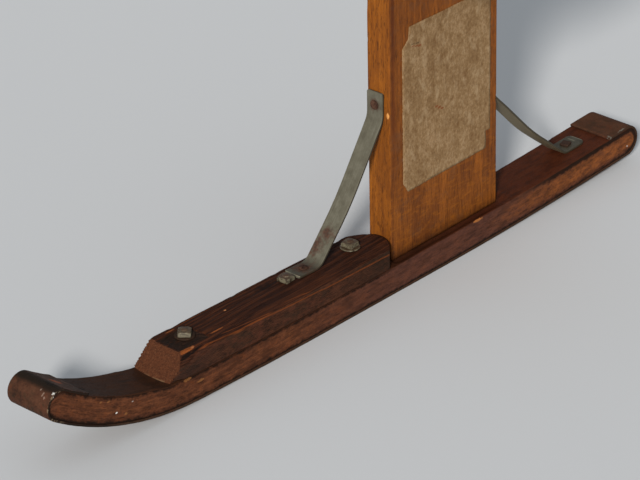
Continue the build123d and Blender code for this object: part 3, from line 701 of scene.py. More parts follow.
def shoeMaterial():
    look = shoeLook
    material, tree, shader, place, tone, fine, coarse = rustyIron("rustyShoeIron", look)
    grain = grainCoordinates(tree)
    side = addNode(tree, "SeparateXYZ", {0: grain}).outputs["Y"]
    x = addNode(tree, "SeparateXYZ", {0: place}).outputs["X"]
    upward = facing(tree, "Z")
    # Olive grime and redder rust lie over each other in uneven patches
    olive = fade(tree, cloud(tree, place, 105, 5.0, 0.75), 0.50, 0.64)
    tone = mixColors(tree, compute(tree, "MULTIPLY", olive, 0.75), tone, look["oliveRust"])
    redder = fade(tree, cloud(tree, place, 80, 5.0, 0.75), 0.54, 0.68)
    tone = mixColors(tree, compute(tree, "MULTIPLY", redder, 0.55), tone, look["redRust"])
    ahead = fade(tree, x, 0.44, 0.47)
    # The wrap over the toe is nearly black on top, with painted shadow in the gap at its end and a rusty stripe
    topSide = allOf(tree, [fade(tree, upward, 0.86, 0.97), ahead])
    tone = mixColors(tree, compute(tree, "MULTIPLY", topSide, 0.92), tone, look["topTone"])
    recess = allOf(tree, [topSide, fade(tree, x, 0.512, 0.504), fade(tree, side, -0.004, 0.010)])
    tone = mixColors(tree, compute(tree, "MULTIPLY", recess, 0.85), tone, look["recessTone"])
    stripe = spot(tree, place, *look["stripe"], 0.4, 300.0)
    tone = mixColors(tree, compute(tree, "MULTIPLY", stripe, 0.75), tone, look["stripeTone"])
    shade = allOf(tree, [spot(tree, place, *look["stripeShade"], 0.4, 300.0), topSide, 0.75])
    tone = mixColors(tree, shade, tone, look["recessTone"])
    onFlank = fade(tree, compute(tree, "ABSOLUTE", facing(tree, "Y")), 0.5, 0.8)
    tone = mixColors(tree, compute(tree, "MULTIPLY", onFlank, 0.7), tone, look["sideTone"])
    heel = allOf(tree, [fade(tree, x, -0.44, -0.46), fade(tree, upward, 0.5, 0.8)])
    tone = mixColors(tree, compute(tree, "MULTIPLY", heel, 0.35), tone, look["heelTone"])
    flank = allOf(tree, [onFlank, ahead, 0.65])
    tone = mixColors(tree, flank, tone, look["recessTone"])
    # Worn along the left edge of the nose, bare bits at the heel, and spattered paint
    edgeGap = compute(tree, "SUBTRACT", 0.033, side)
    worn = allOf(tree, [fade(tree, edgeGap, 0.0014, 0.0005), fade(tree, cloud(tree, place, 190, 3.0), 0.50, 0.58)])
    tone = mixColors(tree, allOf(tree, [worn, fade(tree, x, 0.530, 0.545), 0.7]), tone, look["steel"])
    bare = anyOf(tree, [spot(tree, place, *data, 0.75, 350.0, 0.5) for data in look["bareSpots"]])
    tone = mixColors(tree, compute(tree, "MULTIPLY", bare, 0.7), tone, look["bareTone"])
    faded = anyOf(tree, [spot(tree, place, *data, 0.5, 700.0) for data in look["fadedSpots"]])
    tone = mixColors(tree, compute(tree, "MULTIPLY", faded, 0.5), tone, look["fadedPaint"])
    paint = anyOf(tree, [spot(tree, place, *data, 0.6, 420.0, 0.5) for data in look["paintSpots"]])
    tone = mixColors(tree, paint, tone, look["paint"])
    finishMaterial(tree, shader, tone, fade(tree, fine, -0.4, 1.0), fine, 0.0004)
    return material


shoe = dress(buildShoe(), shoeMaterial(), ["runner_shoe"])
print("iron shoe made")


# Block: its warp from an even box, the carved places and the weathered top
blockSizes = {
    "rearX": -0.0432, "frontX": 0.3308, "width": 0.066, "depth": 0.0285, "endSlope": 0.031,
    "rearRise": 0.0275, "frontRise": 0.0285, "upturnStart": 0.320,
    "heelBulge": 0.028, "heelSkew": 0.006, "edge": 0.0022, "spacing": (0.0019, 0.0016, 0.0006),
    "sawPitch": 0.0038, "sawDepth": 0.00014, "toothDepth": 0.0021, "toothReach": 0.006,
    "scoopZ": 0.047, "scoopHalf": 0.0105, "scoopX": (0.338, 0.352), "scoopDepth": 0.0045,
    "pocketX": 0.2805, "pocketFlatEnd": 0.3115, "pocketNut": 0.2955, "pocketY": (-0.0235, 0.0165),
    "pocketDepth": 0.004, "mouthDepth": 0.0008,
    "chipWidth": 0.0155, "chipFall": (-0.26105, -0.8772),
    "ridgeDepth": 0.0005,
}


def blockTop(x):
    sizes = blockSizes
    rear = runnerTop(sizes["rearX"]) + sizes["rearRise"]
    front = runnerTop(sizes["upturnStart"]) + sizes["frontRise"]
    return rear + (x - sizes["rearX"]) / (sizes["frontX"] - sizes["rearX"]) * (front - rear)


def blockUnder(x):
    if x <= runnerSizes["upturnStart"]:
        return runnerTop(x)
    across = x - arcs["center"].x
    return arcs["center"].y - math.sqrt(arcs["inner"] ** 2 - across ** 2)


def blockRear(y):
    # The rear end is an arc in plan, through its crown and two skewed corners
    sizes = blockSizes
    share = y / (sizes["width"] / 2)
    return sizes["rearX"] + sizes["heelBulge"] * share ** 2 - sizes["heelSkew"] * share * abs(share)


def blockSurface(x, y):
    # Height of the block's top with its pocket round the front nut and its split-off corner
    sizes = blockSizes
    half, front = sizes["width"] / 2, blockTop(sizes["frontX"])
    top = blockTop(min(x, sizes["frontX"]))
    low, high = sizes["pocketY"]
    inPocket = min(1, max(0, (x - sizes["pocketX"]) / 0.002))
    inPocket *= min(1, max(0, (y - low) / 0.002)) * min(1, max(0, (high - y) / 0.002))
    floor = blockTop(sizes["pocketNut"]) - sizes["pocketDepth"]
    mouth = min(1, max(0, (x - sizes["pocketFlatEnd"]) / (sizes["frontX"] - sizes["pocketFlatEnd"])))
    floor += mouth * (front - sizes["mouthDepth"] - floor) + 0.0005 * ripple((x, y, 0), (160, 160, 1), 9.0)
    top += (min(floor, top) - top) * inPocket
    fallX, fallY = sizes["chipFall"]
    torn = 0.0009 * ripple((x, y, 0), (60, 300, 1), 5.0)
    return min(top, front + fallX * (x - sizes["frontX"]) + fallY * (y - half + sizes["chipWidth"]) + torn)


def buildBlock():
    sizes = blockSizes
    half, front = sizes["width"] / 2, blockTop(sizes["frontX"])
    length = sizes["frontX"] - sizes["rearX"]
    slope = sizes["endSlope"] / sizes["depth"]
    points, faces = roundedBox((length, sizes["width"], sizes["depth"]), sizes["spacing"], sizes["edge"], (0,))
    placed, grain = [], []
    for point in points:
        along, y, rise = point.x / length, point.y - half, point.z / sizes["depth"]
        rear = blockRear(y)
        x, z = point.x, front
        # The sloped end and the top depend on each other, so a few rounds bring them together
        for _ in range(4):
            x = rear + along * (sizes["frontX"] + (front - z) * slope - rear)
            under = blockUnder(x) - topHollow(x, y)
            z = under + rise * (blockSurface(x, y) - under)
        # Weathered top: the soft wood has worn away between the hard rings
        ridge = ripple((x, y, 0), (9, 330, 1), 1.0) + 0.6 * ripple((x, y, 0), (22, 800, 1), 4.0)
        place = Vector((x, y, z + sizes["ridgeDepth"] * (ridge - 0.6) * rise))
        edgeGap = half - abs(y)
        # Saw marks step down the sloped end and notch its edges
        cutDown = (front - z) * math.hypot(1, slope) / sizes["sawPitch"] + 0.7 * ripple((x, y, z), (1, 1, 130), 3.0)
        groove = abs(2 * (cutDown % 1.0) - 1)
        behind = sizes["frontX"] + (front - z) * slope - x
        if along > 0.999:
            place.x -= sizes["sawDepth"] * (1.2 - groove)
        if edgeGap < sizes["edge"] and behind < sizes["toothReach"]:
            place.y -= math.copysign(sizes["toothDepth"] * (1 - groove) * (1 - behind / sizes["toothReach"]), y)
        if edgeGap < sizes["edge"] and rise > 0.75:
            nick = max(0.0, ripple((x, y, z), (55, 20, 20), 8.0) - 0.25)
            nick += max(0.0, ripple((x, 0, 0), (210, 1, 1), 2.0) - 0.6)
            place.y -= math.copysign(0.0028 * nick, y)
            place.z -= 0.0014 * nick
        # Hollow low on the left flank, by the saw cut
        start, end = sizes["scoopX"]
        scoop = max(0.0, 1 - ((place.z - sizes["scoopZ"]) / sizes["scoopHalf"]) ** 2)
        scoop *= min(1.0, max(0.0, (place.x - start) / (end - start))) * max(0.0, y / half) ** 4
        place.y -= sizes["scoopDepth"] * scoop
        if edgeGap < 1e-6:
            place.y -= math.copysign(abs(0.00022 * ripple((x, y, z), (14, 40, 420), 6.0)), y)
        placed.append(place)
        grain.append((x, y, z))
    return makeObject("blockWood", placed, faces, grain)


blockLook = {
    "wander": 0.009, "pith": (0, 0.03, -0.055), "ringWidth": 0.0023, "ringShare": 0.35,
    "streaks": (8, 620, 620), "streakShare": 0.9, "broad": (4, 60, 60), "broadShare": 0.3,
    "fibres": (50, 1500, 1500), "fibreShare": 0.6, "pores": (40, 900, 900), "poreShare": 0.5,
    "ringRelief": 0.6,
    "dark": color(34, 18, 12), "middle": color(52, 29, 20), "light": color(78, 43, 26),
    "poreTone": color(20, 14, 12),
    "sideDark": color(44, 29, 21), "sideLight": color(90, 55, 38), "sideRed": color(94, 52, 38), "sideOlive": color(48, 38, 29),
    "shadedTone": color(46, 34, 28),
    "sawTone": color(92, 53, 33), "sawDark": color(60, 34, 22), "sawSpeck": color(124, 84, 58),
    "freshTone": color(146, 82, 40), "wearTone": color(118, 62, 30), "dirtAndShadeTone": color(22, 16, 13),
    "pocketTone": color(36, 29, 24), "brightTone": color(176, 108, 66),
    "speckTone": color(176, 116, 72), "sliverTone": color(124, 98, 70),
    "splits": [((0.3222, 0.0193, 0.0686), (0.0138, 0.0036, 0.0040)), ((0.2650, 0.0140, 0.0688), (0.0100, 0.0013, 0.0030)),
               ((0.3035, -0.0264, 0.0692), (0.0085, 0.0010, 0.0030))],
    "brightSpot": ((0.3140, 0.0205, 0.0690), (0.0035, 0.0020, 0.0030)),
    "cracks": [((0.3285, 0.0238, 0.0652), (0.0110, 0.0027, 0.0060)), ((0.3130, 0.0252, 0.0672), (0.0160, 0.0012, 0.0050))],
    "edgeLine": {"topStart": 0.312, "turn": 0.245, "lean": 0.085, "drop": 0.0060, "dropEnd": 0.10, "half": 0.0014,
                 "upper": ((0.2627, 0.1880, 0.0245, 0.107), (0.1600, 0.1220, 0.0262, 0.150)), "upperHalf": 0.0011},
    "slivers": ((-0.013, -0.006), (0.001, 0.018)), "sliverHeight": (0.0013, 0.0006),
    "greaseAndStrapShadow": [((0.1480, -0.0180, 0.0683), (0.022, 0.010, 0.004)), ((0.0410, -0.0120, 0.0673), (0.012, 0.007, 0.004)),
               ((0.0250, -0.0185, 0.0673), (0.012, 0.007, 0.004)), ((0.0100, -0.0250, 0.0673), (0.011, 0.007, 0.004))],
    "specks": [((0.2234, -0.0131, 0.0683), (0.0019, 0.0016, 0.003))],
}


def blockMaterial():
    look, sizes = blockLook, blockSizes
    material, tree, shader, place = startMaterial("weatheredBlockWood", 0.8, specular=0.05)
    grain = grainCoordinates(tree)
    tone, height, value = growWood(tree, grain, look)
    separate = addNode(tree, "SeparateXYZ", {0: place})
    x, y, z = separate.outputs["X"], separate.outputs["Y"], separate.outputs["Z"]
    forward, leftward, upward = facing(tree, "X"), facing(tree, "Y"), facing(tree, "Z")
    onTop = fade(tree, upward, 0.6, 0.9)
    # The sides are smudged rather than streaked
    smudge = compute(tree, "ADD", cloud(tree, grain, (60, 130, 130), 4.0, 0.65), cloud(tree, grain, (180, 700, 700), 2.0))
    sideTone = ramp(tree, compute(tree, "MULTIPLY", smudge, 0.5), [(0.38, look["sideDark"]), (0.60, look["sideLight"])])
    onSide = fade(tree, compute(tree, "ABSOLUTE", leftward), 0.6, 0.9)
    tone = mixColors(tree, compute(tree, "MULTIPLY", onSide, 0.8), tone, sideTone)
    redder = fade(tree, cloud(tree, grain, (34, 90, 90), 4.0, 0.7), 0.50, 0.66)
    tone = mixColors(tree, allOf(tree, [redder, onSide, fade(tree, x, 0.04, 0.10), 0.6]), tone, look["sideRed"])
    olive = fade(tree, cloud(tree, grain, (28, 75, 75), 4.0, 0.7), 0.50, 0.38)
    tone = mixColors(tree, allOf(tree, [olive, onSide, 0.55]), tone, look["sideOlive"])
    tone = mixColors(tree, allOf(tree, [onSide, fade(tree, x, 0.09, 0.03), 0.35]), tone, look["sideDark"])
    tone = mixColors(tree, allOf(tree, [onSide, fade(tree, x, 0.26, 0.335), 0.65]), tone, look["shadedTone"])
    # One rubbed line leaves the split, reaches the left edge and sinks down the side. Fine lines cover the top
    slope = (blockTop(sizes["frontX"]) - blockTop(sizes["rearX"])) / (sizes["frontX"] - sizes["rearX"])
    topZ = compute(tree, "ADD", compute(tree, "MULTIPLY", x, slope), blockTop(0.0))
    drop = compute(tree, "SUBTRACT", topZ, z)
    waver = compute(tree, "MULTIPLY", compute(tree, "SUBTRACT", cloud(tree, grain, (14, 2, 2), 3.0), 0.5), 0.0022)
    broken = fade(tree, cloud(tree, grain, (40, 60, 60), 4.0, 0.7), 0.22, 0.44)
    line = look["edgeLine"]
    toEdge = compute(tree, "MULTIPLY", compute(tree, "SUBTRACT", x, line["turn"]), line["lean"])
    topLine = allOf(tree, [
        nearLine(tree, compute(tree, "ADD", compute(tree, "ADD", y, waver), toEdge), 0.0328, line["half"]),
        fade(tree, drop, 0.004, 0.003), fade(tree, x, line["turn"] - 0.012, line["turn"]),
        fade(tree, x, line["topStart"], line["topStart"] - 0.01),
    ])
    sunk = compute(tree, "MULTIPLY", fade(tree, x, line["turn"], line["dropEnd"]), line["drop"])
    sideLine = allOf(tree, [
        nearLine(tree, compute(tree, "SUBTRACT", compute(tree, "ADD", drop, waver), sunk), 0.0003, line["half"]),
        fade(tree, y, 0.0312, 0.0322), fade(tree, x, line["turn"] + 0.01, line["turn"] - 0.01),
    ])
    second = []
    for start, end, startY, lean in line["upper"]:
        leaning = compute(tree, "MULTIPLY", compute(tree, "SUBTRACT", x, start), lean)
        away = compute(tree, "ADD", compute(tree, "ADD", y, waver), leaning)
        second.append(allOf(tree, [
            nearLine(tree, away, startY, line["upperHalf"]), onTop, broken,
            fade(tree, x, start + 0.008, start - 0.002), fade(tree, x, end - 0.004, end + 0.008), 0.7,
        ]))
    second = anyOf(tree, second)
    ruled = fade(tree, cloud(tree, grain, (5, 760, 760), 3.0, 0.7), 0.54, 0.64)
    brightened = fade(tree, cloud(tree, grain, (14, 60, 60), 3.0), 0.40, 0.62)
    ruled = allOf(tree, [ruled, onTop, compute(tree, "ADD", compute(tree, "MULTIPLY", brightened, 0.45), 0.28)])
    lines = anyOf(tree, [allOf(tree, [anyOf(tree, [topLine, sideLine]), broken, 0.85]), second, ruled])
    tone = mixColors(tree, lines, tone, look["wearTone"])
    darkened = allOf(tree, [fade(tree, cloud(tree, grain, (4, 540, 540), 3.0, 0.7), 0.46, 0.36), onTop, 0.6])
    tone = mixColors(tree, darkened, tone, look["dark"])
    # A grease stain further forward, and painted shadow of the front strap on the top near the post
    greaseAndStrapShadow = anyOf(tree, [spot(tree, place, *data, 0.5, 120.0, 0.7) for data in look["greaseAndStrapShadow"]])
    tone = mixColors(tree, compute(tree, "MULTIPLY", greaseAndStrapShadow, 0.7), tone, look["dirtAndShadeTone"])
    # Fresh splits, with painted shadow in their cracks
    fresh = anyOf(tree, [spot(tree, place, *data, 0.3, 300.0) for data in look["splits"]])
    grained = fade(tree, cloud(tree, grain, (20, 700, 700), 3.0), 0.35, 0.65)
    freshTone = mixColors(tree, grained, look["wearTone"], look["freshTone"])
    tone = mixColors(tree, compute(tree, "MULTIPLY", fresh, 0.95), tone, freshTone)
    bright = spot(tree, place, *look["brightSpot"], 0.3, 300.0, 0.6)
    tone = mixColors(tree, compute(tree, "MULTIPLY", bright, 0.8), tone, look["brightTone"])
    cracks = anyOf(tree, [spot(tree, place, *data, 0.25, 300.0) for data in look["cracks"]])
    tone = mixColors(tree, compute(tree, "MULTIPLY", cracks, 0.9), tone, look["dirtAndShadeTone"])
    specks = anyOf(tree, [spot(tree, place, *data, 0.25, 500.0) for data in look["specks"]])
    tone = mixColors(tree, specks, tone, look["speckTone"])
    # Dirty floor of the pocket
    low, high = sizes["pocketY"]
    inPocket = allOf(tree, [
        fade(tree, x, sizes["pocketX"] - 0.001, sizes["pocketX"] + 0.002), fade(tree, y, low - 0.001, low + 0.001),
        fade(tree, y, high + 0.001, high - 0.001), fade(tree, drop, 0.0008, 0.0018), fade(tree, upward, 0.3, 0.6), 0.75,
    ])
    tone = mixColors(tree, inPocket, tone, look["pocketTone"])
    # Saw-cut end grain
    planeGap = compute(tree, "ADD", x, compute(tree, "MULTIPLY", z, sizes["endSlope"] / sizes["depth"]))
    planeX = sizes["frontX"] + blockTop(sizes["frontX"]) * sizes["endSlope"] / sizes["depth"]
    cut = allOf(tree, [fade(tree, planeGap, planeX - 0.0045, planeX - 0.003), fade(tree, forward, 0.3, 0.5)])
    mottle = compute(tree, "ADD", cloud(tree, place, 330, 4.0, 0.7), cloud(tree, place, 1100, 2.0, 0.6))
    sawn = ramp(tree, compute(tree, "MULTIPLY", mottle, 0.5), [(0.38, look["sawDark"]), (0.60, look["sawTone"])])
    sawn = mixColors(tree, compute(tree, "MULTIPLY", fade(tree, cloud(tree, place, 650, 3.0), 0.56, 0.70), 0.45), sawn, look["sawSpeck"])
    # A few pale slivers hang on the lower edge
    endX = sizes["frontX"] + sizes["endSlope"]
    underZ = blockUnder(endX) - topHollow(endX, 0.0)
    belly = compute(tree, "MULTIPLY", compute(tree, "MULTIPLY", y, y), runnerSizes["sawBelly"] / runnerSizes["bellyHalf"] ** 2)
    over = compute(tree, "SUBTRACT", compute(tree, "SUBTRACT", z, belly), underZ)
    slivers = anyOf(tree, [
        allOf(tree, [fade(tree, y, low - 0.002, low), fade(tree, y, high + 0.002, high)]) for low, high in look["slivers"]
    ])
    sliver = allOf(tree, [fade(tree, over, *look["sliverHeight"]), slivers, fade(tree, y, -0.03, 0.015), 0.5])
    sawn = mixColors(tree, sliver, sawn, look["sliverTone"])
    tone = mixColors(tree, cut, tone, sawn)
    height = compute(tree, "MULTIPLY", height, compute(tree, "SUBTRACT", 1.0, compute(tree, "MULTIPLY", cut, 0.8)))
    roughness = compute(tree, "ADD", compute(tree, "MULTIPLY", value, 0.35), 0.52)
    finishMaterial(tree, shader, tone, roughness, height, 0.0009)
    return material


dress(buildBlock(), blockMaterial(), ["front_block"])
print("block made")


# Post: a varnished board on edge
postSizes = {
    "low": (-0.2465, -0.01995), "high": (-0.0435, 0.01555), "top": 0.445, "edge": 0.0014, "spacing": 0.0032,
    "chip": (-0.0436, 0.0125, 0.2335),
}


def buildPost():
    sizes = postSizes
    (rearX, rightY), (frontX, leftY) = sizes["low"], sizes["high"]
    height = sizes["top"] - 0.040
    spacing = (sizes["spacing"],) * 3
    points, faces = roundedBox((frontX - rearX, leftY - rightY, height), spacing, sizes["edge"], (2,))
    placed, grain = [], []
    for point in points:
        x, y = rearX + point.x, rightY + point.y
        foot = runnerTop(x) - topHollow(x, y)
        z = foot + point.z / height * (sizes["top"] - foot)
        place = Vector((x, y, z))
        sideGap, faceGap = min(point.x, frontX - rearX - point.x), min(point.y, leftY - rightY - point.y)
        if max(sideGap, faceGap) < sizes["edge"]:
            nick = max(0.0, ripple((x, y, z), (20, 20, 46), 4.0) - 0.3)
            away = (place - Vector(sizes["chip"])) * 1.0
            away.z *= 0.35
            nick += 0.45 * max(0.0, 1 - away.length / 0.0032)
            toward = Vector((rearX + frontX, rightY + leftY, 0)) / 2 - Vector((x, y, 0))
            place += Vector((math.copysign(1, toward.x), math.copysign(1, toward.y), 0)) * 0.0016 * nick
        placed.append(place)
        grain.append((z, x, y))
    return makeObject("postWood", placed, faces, grain)


postLook = {
    "wander": 0.008, "pith": (0, -0.14, 0.10), "ringWidth": 0.0060, "ringShare": 0.12,
    "streaks": (16, 380, 380), "streakShare": 0.65, "broad": (9, 48, 48), "broadShare": 0.7,
    "fibres": (90, 1500, 1500), "fibreShare": 0.7, "pores": (50, 950, 950), "poreShare": 0.5,
    "ringRelief": 0.15,
    "dark": color(96, 50, 17), "middle": color(130, 73, 25), "light": color(160, 92, 34),
    "poreTone": color(64, 34, 15),
    "frontDark": color(118, 63, 17), "frontLight": color(156, 91, 27),
    "stripeX": -0.0505, "stripeHalf": 0.0048, "stripeTone": color(84, 38, 16), "greyTone": color(96, 66, 46),
    "stainTone": color(78, 40, 22), "footTone": color(52, 29, 19), "freshTone": color(214, 150, 84),
    "chip": ((-0.0436, 0.0125, 0.2335), (0.004, 0.0022, 0.0046)),
}


def postMaterial():
    look = postLook
    material, tree, shader, place = startMaterial("varnishedPostWood", 0.5, specular=0.08)
    grain = grainCoordinates(tree)
    tone, height, value = growWood(tree, grain, look)
    separate = addNode(tree, "SeparateXYZ", {0: place})
    x, z = separate.outputs["X"], separate.outputs["Z"]
    # The narrow edges are more golden, with short dark pores
    golden = ramp(tree, value, [(0.35, look["frontDark"]), (0.62, look["frontLight"])])
    edgeOn = fade(tree, compute(tree, "ABSOLUTE", facing(tree, "X")), 0.5, 0.8)
    tone = mixColors(tree, compute(tree, "MULTIPLY", edgeOn, 0.85), tone, golden)
    dashes = fade(tree, cloud(tree, grain, (85, 560, 560), 2.0, 0.5), 0.57, 0.66)
    dashAmount = compute(tree, "ADD", compute(tree, "MULTIPLY", edgeOn, 0.25), 0.35)
    tone = mixColors(tree, compute(tree, "MULTIPLY", dashes, dashAmount), tone, look["poreTone"])
    # Broad darker stains and smudges, stronger towards the foot
    stains = fade(tree, cloud(tree, grain, (8, 30, 30), 4.0, 0.65), 0.44, 0.64)
    smudges = fade(tree, cloud(tree, place, 170, 3.0, 0.7), 0.50, 0.70)
    lower = fade(tree, z, 0.20, 0.06)
    amount = compute(tree, "ADD", compute(tree, "MULTIPLY", lower, 0.25), 0.28)
    tone = mixColors(tree, compute(tree, "MULTIPLY", stains, amount), tone, look["stainTone"])
    tone = mixColors(tree, compute(tree, "MULTIPLY", smudges, 0.22), tone, look["stainTone"])
    # A cross figure near the foot
    figure = fade(tree, cloud(tree, grain, (190, 60, 60), 3.0, 0.65), 0.50, 0.66)
    figure = allOf(tree, [figure, fade(tree, z, 0.24, 0.10), fade(tree, compute(tree, "ABSOLUTE", facing(tree, "Y")), 0.5, 0.8), 0.4])
    tone = mixColors(tree, figure, tone, look["frontLight"])
    # A dark stripe beside the front edge, and greyer rubbed places
    offEdge = compute(tree, "SUBTRACT", 1.0, edgeOn)
    ragged = compute(tree, "MULTIPLY", compute(tree, "SUBTRACT", cloud(tree, grain, (12, 200, 200), 3.0), 0.5), 0.006)
    stripe = nearLine(tree, compute(tree, "ADD", x, ragged), look["stripeX"], look["stripeHalf"])
    tone = mixColors(tree, allOf(tree, [stripe, offEdge, fade(tree, z, 0.10, 0.24), 0.6]), tone, look["stripeTone"])
    greyed = fade(tree, cloud(tree, place, 45, 5.0, 0.7), 0.54, 0.70)
    tone = mixColors(tree, allOf(tree, [greyed, offEdge, 0.45]), tone, look["greyTone"])
    foot = fade(tree, z, 0.048, 0.036)
    tone = mixColors(tree, compute(tree, "MULTIPLY", foot, 0.6), tone, look["footTone"])
    tone = mixColors(tree, spot(tree, place, *look["chip"], 0.25, 500.0), tone, look["freshTone"])
    roughness = compute(tree, "ADD", compute(tree, "MULTIPLY", value, 0.3), 0.36)
    finishMaterial(tree, shader, tone, roughness, height, 0.0005)
    return material


dress(buildPost(), postMaterial(), ["post"])
print("post made")


# Strap braces: zinc-grey bar with rust, swept along the frame's own bends
strapSizes = {
    "thick": 0.003, "edge": 0.0007, "spacing": 0.003, "gap": 0.00005, "footRadius": 0.018, "kneeShare": 0.53,
    "front": {
        "width": 0.0255, "side": -0.0059, "drift": -0.037, "wallX": -0.0435, "top": 0.262, "bend": 0.227,
        "bendRadius": 0.030, "sag": 0.0115, "kneeRadius": 0.420, "heel": 0.071, "toe": 0.1075, "toeCorner": 0.003,
        "twist": 0.0, "lip": 0.0,
    },
    "rear": {
        "width": 0.027, "side": -0.002, "drift": 0.0, "wallX": -0.2465, "top": 0.232, "bend": 0.185,
        "bendRadius": 0.012, "sag": 0.0085, "kneeRadius": 0.400, "heel": -0.393, "toe": -0.4335, "toeCorner": 0.007,
        "twist": 0.07, "lip": 1.0,
    },
    "topCorner": 0.003, "lipX": -0.4255, "lipHeight": 0.0009, "lipHalf": 0.0022, "lipY": (-0.013, 0.006),
}


def buildStrap(name, which, rest, facingWay):
    sizes, bar = strapSizes, strapSizes[which]
    half = sizes["thick"] / 2
    wall = bar["wallX"] + facingWay * half
    heel, toe = [(x, rest(x) + half + sizes["gap"]) for x in (bar["heel"], bar["toe"])]
    share = sizes["kneeShare"]
    knee = (wall + share * (heel[0] - wall), bar["bend"] + share * (heel[1] - bar["bend"]) - bar["sag"])
    corners = [(wall, bar["top"]), (wall, bar["bend"]), knee, heel, toe]
    path = roundedPath(corners, (bar["bendRadius"], bar["kneeRadius"], sizes["footRadius"]), sizes["spacing"])
    # More rings at both ends, for their rounded corners
    for _ in range(2):
        for number in (len(path) - 1, 1):
            (first, ahead), second = path[number - 1], path[number][0]
            path.insert(number, ((first + second) / 2, ahead))
    across = [value - bar["width"] / 2 for value in steps(bar["width"], sizes["spacing"], sizes["edge"])]
    outline = [(y, -half) for y in across] + [(across[-1], 0.0)]
    outline += [(y, half) for y in reversed(across)] + [(across[0], 0.0)]
    total = sum((path[i + 1][0] - path[i][0]).length for i in range(len(path) - 1))
    rings, grain, gaps, along = [], [], [], 0.0
    for number, (place, ahead) in enumerate(path):
        if number:
            along += (place - path[number - 1][0]).length
        out = Vector((-ahead.y, ahead.x)) * facingWay
        toEnd = min(along, total - along)
        corner = sizes["topCorner"] if along < total / 2 else bar["toeCorner"]
        shrink = corner - math.sqrt(max(0.0, corner ** 2 - (corner - toEnd) ** 2)) if toEnd < corner else 0.0
        # The bar is slightly twisted between its bends
        free = min(1.0, max(0.0, (abs(place.x - wall) - 0.004) / 0.02)) * min(1.0, max(0.0, (place.y - heel[1]) / 0.03))
        ring = []
        for y, level in outline:
            innerY = min(max(y, sizes["edge"] - bar["width"] / 2), bar["width"] / 2 - sizes["edge"])
            innerLevel = min(max(level, sizes["edge"] - half), half - sizes["edge"])
            away = Vector((y - innerY, level - innerLevel))
            if away.length > sizes["edge"]:
                away = away.normalized() * sizes["edge"]
            side, rise = innerY + away.x, innerLevel + away.y
            side *= 1 - 2 * shrink / bar["width"]
            low, high = sizes["lipY"]
            lip = bar["lip"] * max(0.0, 1 - abs(place.x - sizes["lipX"]) / sizes["lipHalf"]) if rise > 0 else 0.0
            lip *= min(1.0, max(0.0, (side + bar["side"] - low) / 0.003)) * min(1.0, max(0.0, (high - side) / 0.003))
            point = place + out * (rise + sizes["lipHeight"] * lip)
            middle = bar["side"] + bar["drift"] * (point.x - bar["wallX"])
            dent = 0.0003 * ripple((along, side, 0), (55, 1, 1), 3.0) * abs(side) / (bar["width"] / 2)
            ring.append(Vector((point.x, middle + side + math.copysign(dent, side), point.y + bar["twist"] * side * free)))
            grain.append((along, side, rise))
            gaps.append((total - along, rise, lip))
        rings.append(ring)
    points, faces = skin(rings)
    return makeObject(name, points, faces, grain, gaps)


strapLook = {
    "zinc": color(100, 95, 79), "zincDark": color(88, 82, 67), "zincLight": color(114, 109, 93),
    "rust": color(88, 54, 38), "darkRust": color(54, 39, 31), "specks": color(74, 68, 56),
    "edgeTone": color(58, 50, 36), "edgeLight": color(150, 142, 118), "paintedBounceLight": color(138, 126, 98),
    "footTone": color(50, 45, 32), "upperShadeAndDirt": color(66, 58, 42),
    "frontRust": [((0.060, -0.0170, 0.087), (0.020, 0.0125, 0.020)), ((0.045, -0.0100, 0.100), (0.014, 0.0145, 0.012)),
                  ((-0.041, -0.006, 0.244), (0.010, 0.0105, 0.0105)), ((0.088, -0.0108, 0.070), (0.0180, 0.0180, 0.012))],
    "rearRust": [((-0.4095, -0.002, 0.054), (0.010, 0.009, 0.010)), ((-0.248, -0.002, 0.212), (0.010, 0.010, 0.010))],
}


